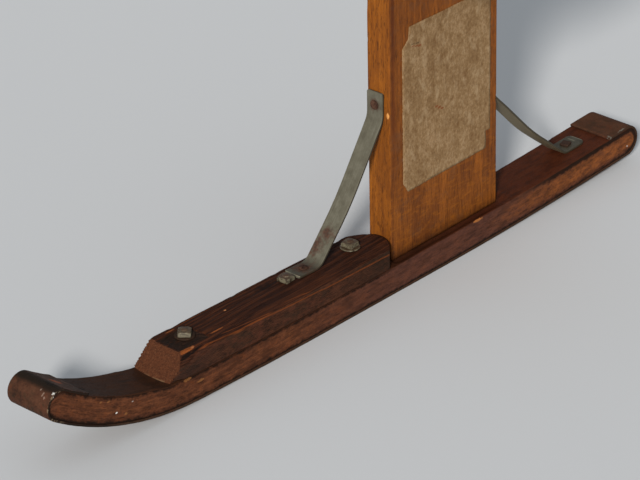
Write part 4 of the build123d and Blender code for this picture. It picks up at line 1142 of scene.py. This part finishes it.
def strapMaterial(name, rustSpots, shadingAndGrime):
    # Painted light on the lower face, as if thrown up from the floor, and painted shade with grime darkening the upper
    # face
    look = strapLook
    material, tree, shader, place = startMaterial(name, 0.6, metallic=0.25, specular=0.35)
    grain = grainCoordinates(tree)
    gapSpace = addNode(tree, "Attribute", attribute_name="gapSpace").outputs["Vector"]
    gaps = addNode(tree, "SeparateXYZ", {0: gapSpace})
    drawn = cloud(tree, grain, (30, 700, 700), 3.0, 0.6)
    mottle = cloud(tree, place, 90, 4.0, 0.6)
    mixed = compute(tree, "ADD", compute(tree, "MULTIPLY", drawn, 0.4), compute(tree, "MULTIPLY", mottle, 0.6))
    tone = ramp(tree, mixed, [(0.36, look["zincDark"]), (0.5, look["zinc"]), (0.64, look["zincLight"])])
    specks = fade(tree, cloud(tree, place, 600, 2.0), 0.66, 0.74)
    tone = mixColors(tree, compute(tree, "MULTIPLY", specks, 0.45), tone, look["specks"])
    under = fade(tree, gaps.outputs["Y"], 0.0, -0.001)
    tone = mixColors(tree, compute(tree, "MULTIPLY", under, shadingAndGrime), tone, look["paintedBounceLight"])
    upper = fade(tree, gaps.outputs["Y"], 0.0, 0.001)
    dirty = compute(tree, "ADD", compute(tree, "MULTIPLY", fade(tree, mottle, 0.4, 0.6), 0.4), 0.6)
    tone = mixColors(tree, allOf(tree, [upper, dirty, shadingAndGrime]), tone, look["upperShadeAndDirt"])
    foot = allOf(tree, [fade(tree, gaps.outputs["X"], 0.046, 0.028), upper, dirty, 0.85])
    tone = mixColors(tree, foot, tone, look["footTone"])
    # Dark thin sides, and a painted highlight along the toe end and on the raised lip
    thin = fade(tree, compute(tree, "ABSOLUTE", facing(tree, "Y")), 0.35, 0.8)
    tone = mixColors(tree, compute(tree, "MULTIPLY", thin, 0.85), tone, look["edgeTone"])
    bright = anyOf(tree, [fade(tree, gaps.outputs["X"], 0.0016, 0.0008), fade(tree, gaps.outputs["Z"], 0.2, 0.6)])
    tone = mixColors(tree, allOf(tree, [bright, upper, 0.55]), tone, look["edgeLight"])
    rust = compute(tree, "MULTIPLY", fade(tree, cloud(tree, place, 90, 5.0, 0.7), 0.64, 0.74), 0.3)
    smears = [spot(tree, place, *data, 0.5, 150.0, 0.8) for data in rustSpots]
    rust = compute(tree, "MAXIMUM", rust, anyOf(tree, smears))
    rustTone = ramp(tree, cloud(tree, place, 380, 4.0, 0.7), [(0.35, look["darkRust"]), (0.62, look["rust"])])
    tone = mixColors(tree, compute(tree, "MULTIPLY", rust, 0.9), tone, rustTone)
    roughness = compute(tree, "ADD", compute(tree, "MULTIPLY", mottle, 0.3), compute(tree, "MULTIPLY", rust, 0.25))
    height = compute(tree, "ADD", compute(tree, "MULTIPLY", drawn, 0.3), compute(tree, "MULTIPLY", mottle, 0.4))
    finishMaterial(tree, shader, tone, compute(tree, "ADD", roughness, 0.38), height, 0.0003)
    return material


dress(buildStrap("frontStrap", "front", blockTop, 1), strapMaterial("frontStrapSteel", strapLook["frontRust"], 0.05),
      ["front_brace"])
dress(buildStrap("rearStrap", "rear", runnerTop, -1), strapMaterial("rearStrapSteel", strapLook["rearRust"], 0.7),
      ["rear_brace"])
print("straps made")


# Fasteners: turned profiles with a slot, square nuts, threaded bolt ends
def turned(profile, axis, center, count=40, slot=None):
    # A profile of (radius, height) turned about an axis at a centre
    upright = Vector((0, 0, 1)).rotation_difference(Vector(axis)).to_matrix()
    rings = []
    for radius, height in profile:
        ring = []
        for number in range(count):
            angle = 2 * math.pi * number / count
            point = Vector((radius * math.cos(angle), radius * math.sin(angle), height))
            if slot:
                across = abs(point.x * math.sin(slot["turn"]) - point.y * math.cos(slot["turn"]))
                if across < slot["width"] / 2 and height > slot["floor"]:
                    point.z = slot["floor"]
            ring.append(Vector(center) + upright @ point)
        rings.append(ring)
    return skin(rings)


def domedProfile(radius, height, ringsCount=12, rim=0.35):
    # From under the rim, up and over a dome to the middle
    profile = [(radius * 0.93, 0.0), (radius, height * rim * 0.5), (radius * 0.99, height * rim)]
    for number in range(1, ringsCount + 1):
        share = 1 - number / ringsCount
        reach = radius * 0.97 * max(share, 0.004)
        profile.append((reach, height * (rim + (1 - rim) * math.sqrt(max(0.0, 1 - share ** 2)))))
    return profile


def sunkProfile(radius, depth, shank):
    # From the narrow end of a countersunk head up its cone and in over its flat face
    profile = [(shank, 0.0), (radius * 0.98, depth * 0.9), (radius, depth * 0.96), (radius * 0.96, depth)]
    return profile + [(radius * (0.96 - 0.95 * number / 10), depth) for number in range(1, 11)]


screwSizes = {
    "radius": 0.0063, "height": 0.0026, "slotWidth": 0.0013, "slotDepth": 0.0010, "lift": 0.0031,
    "places": {"frontPost": (-0.0062, 0.2445), "rearPost": (-0.002, 0.212)}, "frontFootX": 0.088,
    "turns": {"frontPost": 1.1, "frontFoot": 0.5, "rearPost": 0.3},
}

fastenerLook = {
    "rust": color(64, 43, 33), "darkRust": color(40, 30, 25), "brightRust": color(90, 64, 50),
    "steel": color(74, 63, 46), "steelDark": color(47, 38, 28), "steelLight": color(104, 93, 72),
    "oldRust": color(74, 50, 35), "steelPale": color(138, 131, 108), "facetTone": color(146, 138, 120),
    "dark": {"rust": color(50, 36, 29), "darkRust": color(32, 25, 21), "brightRust": color(68, 49, 39)},
    "dirty": {"rust": color(50, 36, 27), "darkRust": color(36, 28, 23), "brightRust": color(68, 47, 35)},
}


def rustyFastener(name, look):
    material, tree, shader, place, tone, fine, coarse = rustyIron(name, look, 0.7)
    finishMaterial(tree, shader, tone, fade(tree, fine, -0.5, 1.1), fine, 0.0003)
    return material


def dullSteel(name, rustShare):
    look = fastenerLook
    material, tree, shader, place = startMaterial(name, 0.55, metallic=0.1, specular=0.25)
    mottle = cloud(tree, place, 260, 4.0, 0.7)
    tone = ramp(tree, mottle, [(0.34, look["steelDark"]), (0.5, look["steel"]), (0.68, look["steelLight"])])
    rust = fade(tree, cloud(tree, place, 220, 4.0, 0.7), 0.62 - rustShare, 0.74 - rustShare)
    tone = mixColors(tree, compute(tree, "MULTIPLY", rust, 0.75), tone, look["oldRust"])
    # Flat tops are brown, sides are paler
    upward = facing(tree, "Z")
    paler = allOf(tree, [fade(tree, upward, 0.85, 0.5), fade(tree, mottle, 0.38, 0.58), 0.45])
    tone = mixColors(tree, paler, tone, look["steelPale"])
    browner = allOf(tree, [fade(tree, upward, 0.88, 0.97), fade(tree, mottle, 0.62, 0.42), 0.6])
    tone = mixColors(tree, browner, tone, look["oldRust"])
    # Painted highlight on a facet facing between the x and y axes
    brightened = allOf(tree, [fade(tree, facing(tree, "X"), 0.60, 0.70), fade(tree, facing(tree, "Y"), 0.52, 0.62), 0.35])
    tone = mixColors(tree, brightened, tone, look["facetTone"])
    finishMaterial(tree, shader, tone, compute(tree, "ADD", compute(tree, "MULTIPLY", mottle, 0.4), 0.3), mottle, 0.0003)
    return material


rustyHead = rustyFastener("rustyScrewIron", fastenerLook)
darkHead = rustyFastener("darkBoltIron", fastenerLook["dark"])
dirtyWasher = rustyFastener("dirtyWasherIron", fastenerLook["dirty"])
nutSteel = dullSteel("dullNutSteel", 0.08)
boltSteel = dullSteel("brownBoltSteel", 0.30)
seatSteel = dullSteel("seatScrewSteel", 0.0)


def slotOf(height, turn):
    return {"turn": turn, "width": screwSizes["slotWidth"], "floor": height - screwSizes["slotDepth"]}


def buildScrews():
    sizes = screwSizes
    wallRear, wallFront = postSizes["low"][0], postSizes["high"][0]
    thick = strapSizes["thick"]
    footX = sizes["frontFootX"]
    footY = strapSizes["front"]["side"] + strapSizes["front"]["drift"] * (footX - wallFront)
    lean = (blockTop(0.1) - blockTop(0.0)) / 0.1
    placed = {
        "frontPost": ((wallFront + thick, *sizes["places"]["frontPost"]), (1, 0, 0), "front_post_screw"),
        "frontFoot": ((footX, footY, blockTop(footX) + sizes["lift"]), (-lean, 0, 1), "front_foot_screw"),
        "rearPost": ((wallRear - thick, *sizes["places"]["rearPost"]), (-1, 0, 0), "rear_post_screw"),
    }
    for which, (center, axis, nodeName) in placed.items():
        profile = domedProfile(sizes["radius"], sizes["height"])
        head = turned(profile, axis, center, 48, slotOf(sizes["height"], sizes["turns"][which]))
        dress(makeObject(which + "Screw", *head), rustyHead, [nodeName])


buildScrews()

nutSizes = {
    "side": 0.016, "height": 0.0065, "edge": 0.0007, "spacing": 0.0016,
    "turns": {"front": 41.0, "middle": 6.0, "rear": 6.0},
    "boltRadius": 0.00475, "stub": 0.0011, "pitch": 0.0014, "threadDepth": 0.0004, "headDepth": 0.005,
}


def buildNut(name, x, y, z, turn):
    side, height = nutSizes["side"], nutSizes["height"]
    points, faces = roundedBox((side, side, height), (nutSizes["spacing"],) * 3, nutSizes["edge"])
    spin = Matrix.Rotation(math.radians(turn), 3, "Z")
    placed = []
    for point in points:
        local = Vector((point.x - side / 2, point.y - side / 2, point.z))
        # The top is dressed to a shallow cone, as a forged nut's is
        reach = math.hypot(local.x, local.y)
        if local.z > height * 0.6:
            local.z -= 0.6 * max(0.0, reach - side * 0.53)
        local.z -= 0.00012 * abs(ripple(point, (300, 300, 300), x * 50))
        placed.append(Vector((x, y, z)) + spin @ local)
    return makeObject(name, placed, faces)


def threadedEnd(x, y, base, threadStart, top):
    # A shank whose upper part is a thread with an eased rim
    sizes = nutSizes
    rings, count = [], 36
    heights = [base] + [threadStart + (top - threadStart) * number / 40 for number in range(41)]
    for z in heights:
        ring = []
        for step in range(count):
            angle = 2 * math.pi * step / count
            phase = ((z - base) / sizes["pitch"] + step / count) % 1.0
            radius = sizes["boltRadius"] - sizes["threadDepth"] * abs(2 * phase - 1)
            radius -= 0.0008 * max(0.0, 1 - (top - z) / 0.0009)
            ring.append(Vector((x + radius * math.cos(angle), y + radius * math.sin(angle), z)))
        rings.append(ring)
    return skin(rings)


for number, which in enumerate(("front", "middle", "rear")):
    x, y = soleHeads["bolts"][number]
    z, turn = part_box(which + "_nut")[0].z, nutSizes["turns"][which]
    dress(buildNut(which + "Nut", x, y, z, turn), nutSteel, [which + "_nut"])
    top, depth = z + nutSizes["height"] + nutSizes["stub"], nutSizes["headDepth"]
    face = runnerSole(x) + soleHeads["boltInset"]
    profile = sunkProfile(soleHeads["boltRadius"], depth, nutSizes["boltRadius"])
    head = turned(profile, (0, 0, -1), (x, y, face + depth), 48, slotOf(depth, 0.4 + number))
    shank = threadedEnd(x, y, face + depth * 0.8, z + nutSizes["height"] * 0.5, top)
    dress(makeObject(which + "Bolt", *joined([head, shank])), boltSteel, [which + "_bolt"])


def buildWasher(name, low, high):
    radius, thick = (high.x - low.x) / 2, high.z - low.z
    center = ((low.x + high.x) / 2, (low.y + high.y) / 2, low.z)
    profile = [
        (0.0052, 0.0), (radius * 0.96, 0.0), (radius, thick * 0.3), (radius, thick * 0.7),
        (radius * 0.96, thick), (radius * 0.8, thick * 0.97), (0.0075, thick), (0.0052, thick * 0.9),
    ]
    return makeObject(name, *turned(profile, (0, 0, 1), center, 56))


dress(buildWasher("frontWasher", *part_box("front_washer")), dirtyWasher, ["front_washer"])
dress(buildWasher("rearWasher", *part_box("rear_washer")), nutSteel, ["rear_washer"])

footBolt = {"side": 0.012, "height": 0.0035, "edge": 0.0011, "x": -0.4095, "spacing": 0.0014, "turn": 12}


def buildFootBolt():
    side, x = footBolt["side"], footBolt["x"]
    points, faces = roundedBox((side, side, footBolt["height"]), (footBolt["spacing"],) * 3, footBolt["edge"])
    lean = (x - runnerSizes["lowX"]) / runnerSizes["topRadius"]
    center = Vector((x, strapSizes["rear"]["side"], runnerTop(x) + screwSizes["lift"]))
    tilt = Vector((0, 0, 1)).rotation_difference(Vector((-lean, 0, 1))).to_matrix()
    spin = Matrix.Rotation(math.radians(footBolt["turn"]), 3, "Z")
    placed = []
    for point in points:
        local = Vector((point.x - side / 2, point.y - side / 2, point.z))
        local.z -= 0.00015 * abs(ripple(point, (400, 400, 400), 4.0))
        placed.append(center + tilt @ (spin @ local))
    return makeObject("rearFootBoltHead", placed, faces)


dress(buildFootBolt(), darkHead, ["rear_foot_bolt"])

shoeHeads = []
for number, (x, y) in enumerate(soleHeads["screws"]):
    radius, shank = soleHeads["screwRadius"], 0.0022
    depth = radius - shank
    center = (x, y, runnerSole(x) + soleHeads["screwInset"] + depth)
    shoeHeads.append(turned(sunkProfile(radius, depth, shank), (0, 0, -1), center, 40, slotOf(depth, number * 0.7)))
dress(makeObject("shoeScrewHeads", *joined(shoeHeads)), boltSteel, ["shoe_screws"])
print("fasteners made")


# Paper patch: torn, wrinkled and stained, glued to the left face of the post
patchSizes = {
    "front": -0.067, "rear": -0.2335, "bottom": 0.119, "top": 0.341, "wallY": 0.01555, "thick": 0.00045,
    "topTear": (0.013, 0.026), "bottomTear": (0.009, 0.014), "heelTear": (0.0085, 0.028), "bottomSlope": 0.004,
    "jag": 0.0011, "cell": 0.003,
}


def patchOutline():
    sizes = patchSizes
    front, rear, bottom, top = sizes["front"], sizes["rear"], sizes["bottom"], sizes["top"]
    corners = [
        (front, bottom + sizes["bottomTear"][1]), (front, top - sizes["topTear"][1]),
        (front - sizes["topTear"][0] * 0.85, top - sizes["topTear"][1] * 0.62), (front - sizes["topTear"][0], top),
        (rear, top), (rear, bottom + sizes["heelTear"][1]),
        (rear + sizes["heelTear"][0], bottom + sizes["heelTear"][1]),
        (rear + sizes["heelTear"][0], bottom + sizes["bottomSlope"]),
        (front - sizes["bottomTear"][0], bottom),
    ]
    outline = []
    for number, corner in enumerate(corners):
        start, end = Vector(corner), Vector(corners[(number + 1) % len(corners)])
        count = max(1, round((end - start).length / 0.0016))
        for step in range(count):
            point = start.lerp(end, step / count)
            inward = (end - start).orthogonal().normalized()
            # Each edge gets the same rough wander, stronger in some places, though on the paper only the torn places
            # are rough
            rough = sizes["jag"] * (0.5 + abs(ripple((point.x, point.y, 0), (40, 40, 1), 2.0)))
            outline.append(point + inward * rough * ripple((point.x, point.y, 0), (420, 420, 1), 5.0))
    return outline


def buildPatch():
    sizes = patchSizes
    outline = patchOutline()
    count = len(outline)
    inside = []
    low = Vector((sizes["rear"], sizes["bottom"]))
    columns = round((sizes["front"] - sizes["rear"]) / sizes["cell"])
    rows = round((sizes["top"] - sizes["bottom"]) / sizes["cell"])
    for column in range(1, columns):
        for row in range(1, rows):
            point = Vector((low.x + column * sizes["cell"], low.y + row * sizes["cell"]))
            if min((point - other).length for other in outline) > sizes["cell"] * 0.6 and insideOutline(point, outline):
                inside.append(point)
    edges = [(number, (number + 1) % count) for number in range(count)]
    flat, _, faces, _, _, _ = delaunay_2d_cdt(outline + inside, edges, [], 1, 1e-7)
    points = []
    for point in flat:
        border = min((point - other).length for other in outline)
        swell = 0.00016 + 0.00022 * max(0.0, ripple((point.x, point.y, 0), (75, 60, 1), 3.0))
        swell += 0.00012 * ripple((point.x, point.y, 0), (260, 240, 1), 8.0)
        curl = 0.00028 * max(0.0, 1 - border / 0.006) * max(0.0, ripple((point.x, point.y, 0), (35, 35, 1), 6.0))
        points.append(Vector((point.x, sizes["wallY"] + max(0.0, swell) + curl, point.y)))
    piece = makeObject("paperPatch", points, faces)
    thicken = piece.modifiers.new("thickness", "SOLIDIFY")
    thicken.thickness = sizes["thick"]
    thicken.offset = 0
    return piece


def insideOutline(point, outline):
    crossings = False
    for number, first in enumerate(outline):
        second = outline[number - 1]
        if (first.y > point.y) != (second.y > point.y):
            across = (second.x - first.x) * (point.y - first.y) / (second.y - first.y) + first.x
            if point.x < across:
                crossings = not crossings
    return crossings


patchLook = {
    "dark": color(114, 84, 53), "middle": color(135, 106, 72), "light": color(156, 127, 93),
    "dash": color(84, 66, 46), "brown": color(122, 66, 36), "pale": color(172, 146, 112),
    "tears": [((-0.0865, 0.0158, 0.3129), (0.0036, 0.02, 0.0009)), ((-0.0930, 0.0158, 0.3112), (0.0036, 0.02, 0.0010)),
              ((-0.0995, 0.0158, 0.3096), (0.0036, 0.02, 0.0014)), ((-0.1305, 0.0158, 0.2160), (0.0034, 0.02, 0.0014)),
              ((-0.1355, 0.0158, 0.2130), (0.0034, 0.02, 0.0017)), ((-0.1405, 0.0158, 0.2100), (0.0030, 0.02, 0.0013))],
    "creases": [((-0.0870, 0.0158, 0.3158), (0.0045, 0.02, 0.0007)), ((-0.0950, 0.0158, 0.3146), (0.0045, 0.02, 0.0009))],
}


def patchMaterial():
    look = patchLook
    material, tree, shader, place = startMaterial("agedPatchPaper", 0.9, specular=0.12)
    # Stains run down the paper, fibres and crumbs are small
    streaks = cloud(tree, place, (95, 95, 62), 4.0, 0.65)
    broad = cloud(tree, place, 22, 4.0, 0.6)
    fine = cloud(tree, place, (300, 300, 220), 3.0, 0.7)
    mixed = compute(tree, "ADD", compute(tree, "MULTIPLY", streaks, 0.36), compute(tree, "MULTIPLY", fine, 0.44))
    mixed = compute(tree, "ADD", mixed, compute(tree, "MULTIPLY", broad, 0.20))
    tone = ramp(tree, mixed, [(0.39, look["dark"]), (0.5, look["middle"]), (0.60, look["light"])])
    pale = fade(tree, cloud(tree, place, (70, 70, 45), 4.0, 0.6), 0.54, 0.68)
    tone = mixColors(tree, compute(tree, "MULTIPLY", pale, 0.55), tone, look["pale"])
    # Thin curled fibres follow where a noise crosses its middle
    fibres = allOf(tree, [nearLine(tree, cloud(tree, place, 150, 2.0), 0.5, 0.02), fade(tree, fine, 0.48, 0.58), 0.4])
    dashes = fade(tree, cloud(tree, place, (400, 400, 300), 2.0, 0.6), 0.64, 0.72)
    tone = mixColors(tree, anyOf(tree, [compute(tree, "MULTIPLY", dashes, 0.4), fibres]), tone, look["dash"])
    tears = anyOf(tree, [spot(tree, place, *data, 0.35, 350.0) for data in look["tears"]])
    tone = mixColors(tree, compute(tree, "MULTIPLY", tears, 0.85), tone, look["brown"])
    creases = anyOf(tree, [spot(tree, place, *data, 0.3, 350.0) for data in look["creases"]])
    tone = mixColors(tree, compute(tree, "MULTIPLY", creases, 0.75), tone, look["dash"])
    height = compute(tree, "ADD", fine, compute(tree, "MULTIPLY", streaks, 0.8))
    finishMaterial(tree, shader, tone, None, height, 0.0005)
    return material


dress(buildPatch(), patchMaterial(), ["paper_patch"])
print("paper patch made")


# Seat board and cleats, whose shapes stay the frame's own, and their slotted screws
seatLook = {
    "wander": 0.014, "pith": (0, 0.05, -0.12), "ringWidth": 0.010, "ringShare": 0.6,
    "streaks": (9, 150, 150), "streakShare": 0.7, "broad": (2.5, 22, 22), "broadShare": 0.5,
    "fibres": (60, 1300, 1300), "fibreShare": 0.35, "pores": (50, 950, 950), "poreShare": 0.5,
    "ringRelief": 0.25,
    "dark": color(84, 44, 22), "middle": color(116, 66, 32), "light": color(146, 88, 44),
    "poreTone": color(60, 35, 21), "wearTone": color(176, 120, 70), "dirtAndShadeTone": color(48, 31, 21),
}


def seatMaterial(name, look, turn):
    # turn brings the grain's direction of a board to x
    material, tree, shader, place = startMaterial(name, 0.45, specular=0.14)
    grain = addNode(tree, "Mapping", {"Vector": place, "Rotation": turn}).outputs[0]
    tone, height, value = growWood(tree, grain, look)
    worn = fade(tree, cloud(tree, place, 14, 4.0, 0.6), 0.5, 0.68)
    tone = mixColors(tree, compute(tree, "MULTIPLY", worn, 0.35), tone, look["wearTone"])
    darkening = fade(tree, cloud(tree, place, 38, 4.0, 0.6), 0.56, 0.7)
    tone = mixColors(tree, compute(tree, "MULTIPLY", darkening, 0.35), tone, look["dirtAndShadeTone"])
    finishMaterial(tree, shader, tone, compute(tree, "ADD", compute(tree, "MULTIPLY", value, 0.3), 0.3), height, 0.0006)
    return material


def paintNode(nodeName, material):
    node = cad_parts[nodeName]
    node.data.materials.clear()
    node.data.materials.append(material)


acrossWood = seatMaterial("seatBoardWood", seatLook, (0, 0, math.radians(-90)))
alongWood = seatMaterial("cleatWood", seatLook, (0, 0, 0))
paintNode("seat", acrossWood)
paintNode("cleat_left", alongWood)
paintNode("cleat_right", alongWood)

seatScrews = {
    "radius": 0.0042, "shank": 0.0022, "middle": (-0.145, 0.426), "top": 0.4649, "thick": 0.028,
    "topReach": 0.065, "sideReach": 0.055,
}


def buildSeatScrews():
    sizes = seatScrews
    depth = sizes["radius"] - sizes["shank"]
    middleX, sideZ = sizes["middle"]
    topHeads, sideHeads = [], []
    for number, (wall, way) in enumerate(((postSizes["high"][1], 1), (postSizes["low"][1], -1))):
        for turn, reach in enumerate((-1, 1)):
            spin = 0.5 + number + 0.8 * turn
            center = (middleX + reach * sizes["topReach"], wall + way * sizes["thick"] / 2, sizes["top"] - depth)
            profile = sunkProfile(sizes["radius"], depth, sizes["shank"])
            topHeads.append(turned(profile, (0, 0, 1), center, 40, slotOf(depth, spin)))
            center = (middleX + reach * sizes["sideReach"], wall + way * sizes["thick"], sideZ)
            profile = domedProfile(sizes["radius"], depth)
            sideHeads.append(turned(profile, (0, way, 0), center, 40, slotOf(depth, spin + 0.4)))
    dress(makeObject("seatScrewHeads", *joined(topHeads)), seatSteel, ["seat_screws"])
    dress(makeObject("cleatScrewHeads", *joined(sideHeads)), seatSteel, ["cleat_screws"])


buildSeatScrews()
print("seat made")


# Floor, light and camera
stageLook = {
    "floorTone": color(203, 203, 203), "otherTone": color(188, 190, 193), "floorSize": 30.0,
    "skyTone": (0.86, 0.93, 1.0, 1.0), "skyStrength": 0.47,
    "sunTone": (1.0, 0.975, 0.94), "sunStrength": 3.25, "sunSpread": 7.0, "sunAzimuth": 33.0, "sunHeight": 27.0,
}
cameraPlace = {
    "place": (2.8157, 2.5517, 2.0999), "ahead": (-0.6468, -0.6008, -0.4698), "roll": -1.19, "lens": 196.9, "sensor": 36.0,
}


def buildStage():
    look = stageLook
    half = look["floorSize"] / 2
    floor = makeObject(
        "studioFloor", [(-half, -half, 0), (half, -half, 0), (half, half, 0), (-half, half, 0)], [(0, 1, 2, 3)]
    )
    material, tree, shader, place = startMaterial("paleFloor", 0.9, specular=0.1)
    soft = cloud(tree, place, 1.4, 2.0)
    tone = mixColors(tree, compute(tree, "MULTIPLY", soft, 0.06), look["floorTone"], look["otherTone"])
    finishMaterial(tree, shader, tone)
    floor.data.materials.append(material)
    world = bpy.data.worlds.new("studio")
    bpy.context.scene.world = world
    world.use_nodes = True
    sky = world.node_tree.nodes["Background"]
    sky.inputs["Color"].default_value = look["skyTone"]
    sky.inputs["Strength"].default_value = look["skyStrength"]
    sun = bpy.data.lights.new("keyLight", "SUN")
    sun.energy = look["sunStrength"]
    sun.color = look["sunTone"]
    sun.angle = math.radians(look["sunSpread"])
    lamp = bpy.data.objects.new("keyLight", sun)
    azimuth, height = math.radians(look["sunAzimuth"]), math.radians(look["sunHeight"])
    toward = Vector((math.cos(azimuth) * math.cos(height), math.sin(azimuth) * math.cos(height), math.sin(height)))
    lamp.rotation_euler = toward.to_track_quat("Z", "Y").to_euler()
    lamp.location = toward * 3
    bpy.context.scene.collection.objects.link(lamp)
    bpy.context.scene.view_settings.view_transform = "Standard"


def placeCamera():
    settings = cameraPlace
    data = bpy.data.cameras.new("camera")
    data.lens = settings["lens"]
    data.sensor_width = settings["sensor"]
    camera = bpy.data.objects.new("camera", data)
    ahead = Vector(settings["ahead"]).normalized()
    turned = ahead.to_track_quat("-Z", "Y").to_matrix().to_4x4()
    roll = Matrix.Rotation(math.radians(settings["roll"]), 4, "Z")
    camera.matrix_world = Matrix.Translation(settings["place"]) @ turned @ roll
    bpy.context.scene.collection.objects.link(camera)
    bpy.context.scene.camera = camera


buildStage()
placeCamera()
print("stage and camera made")
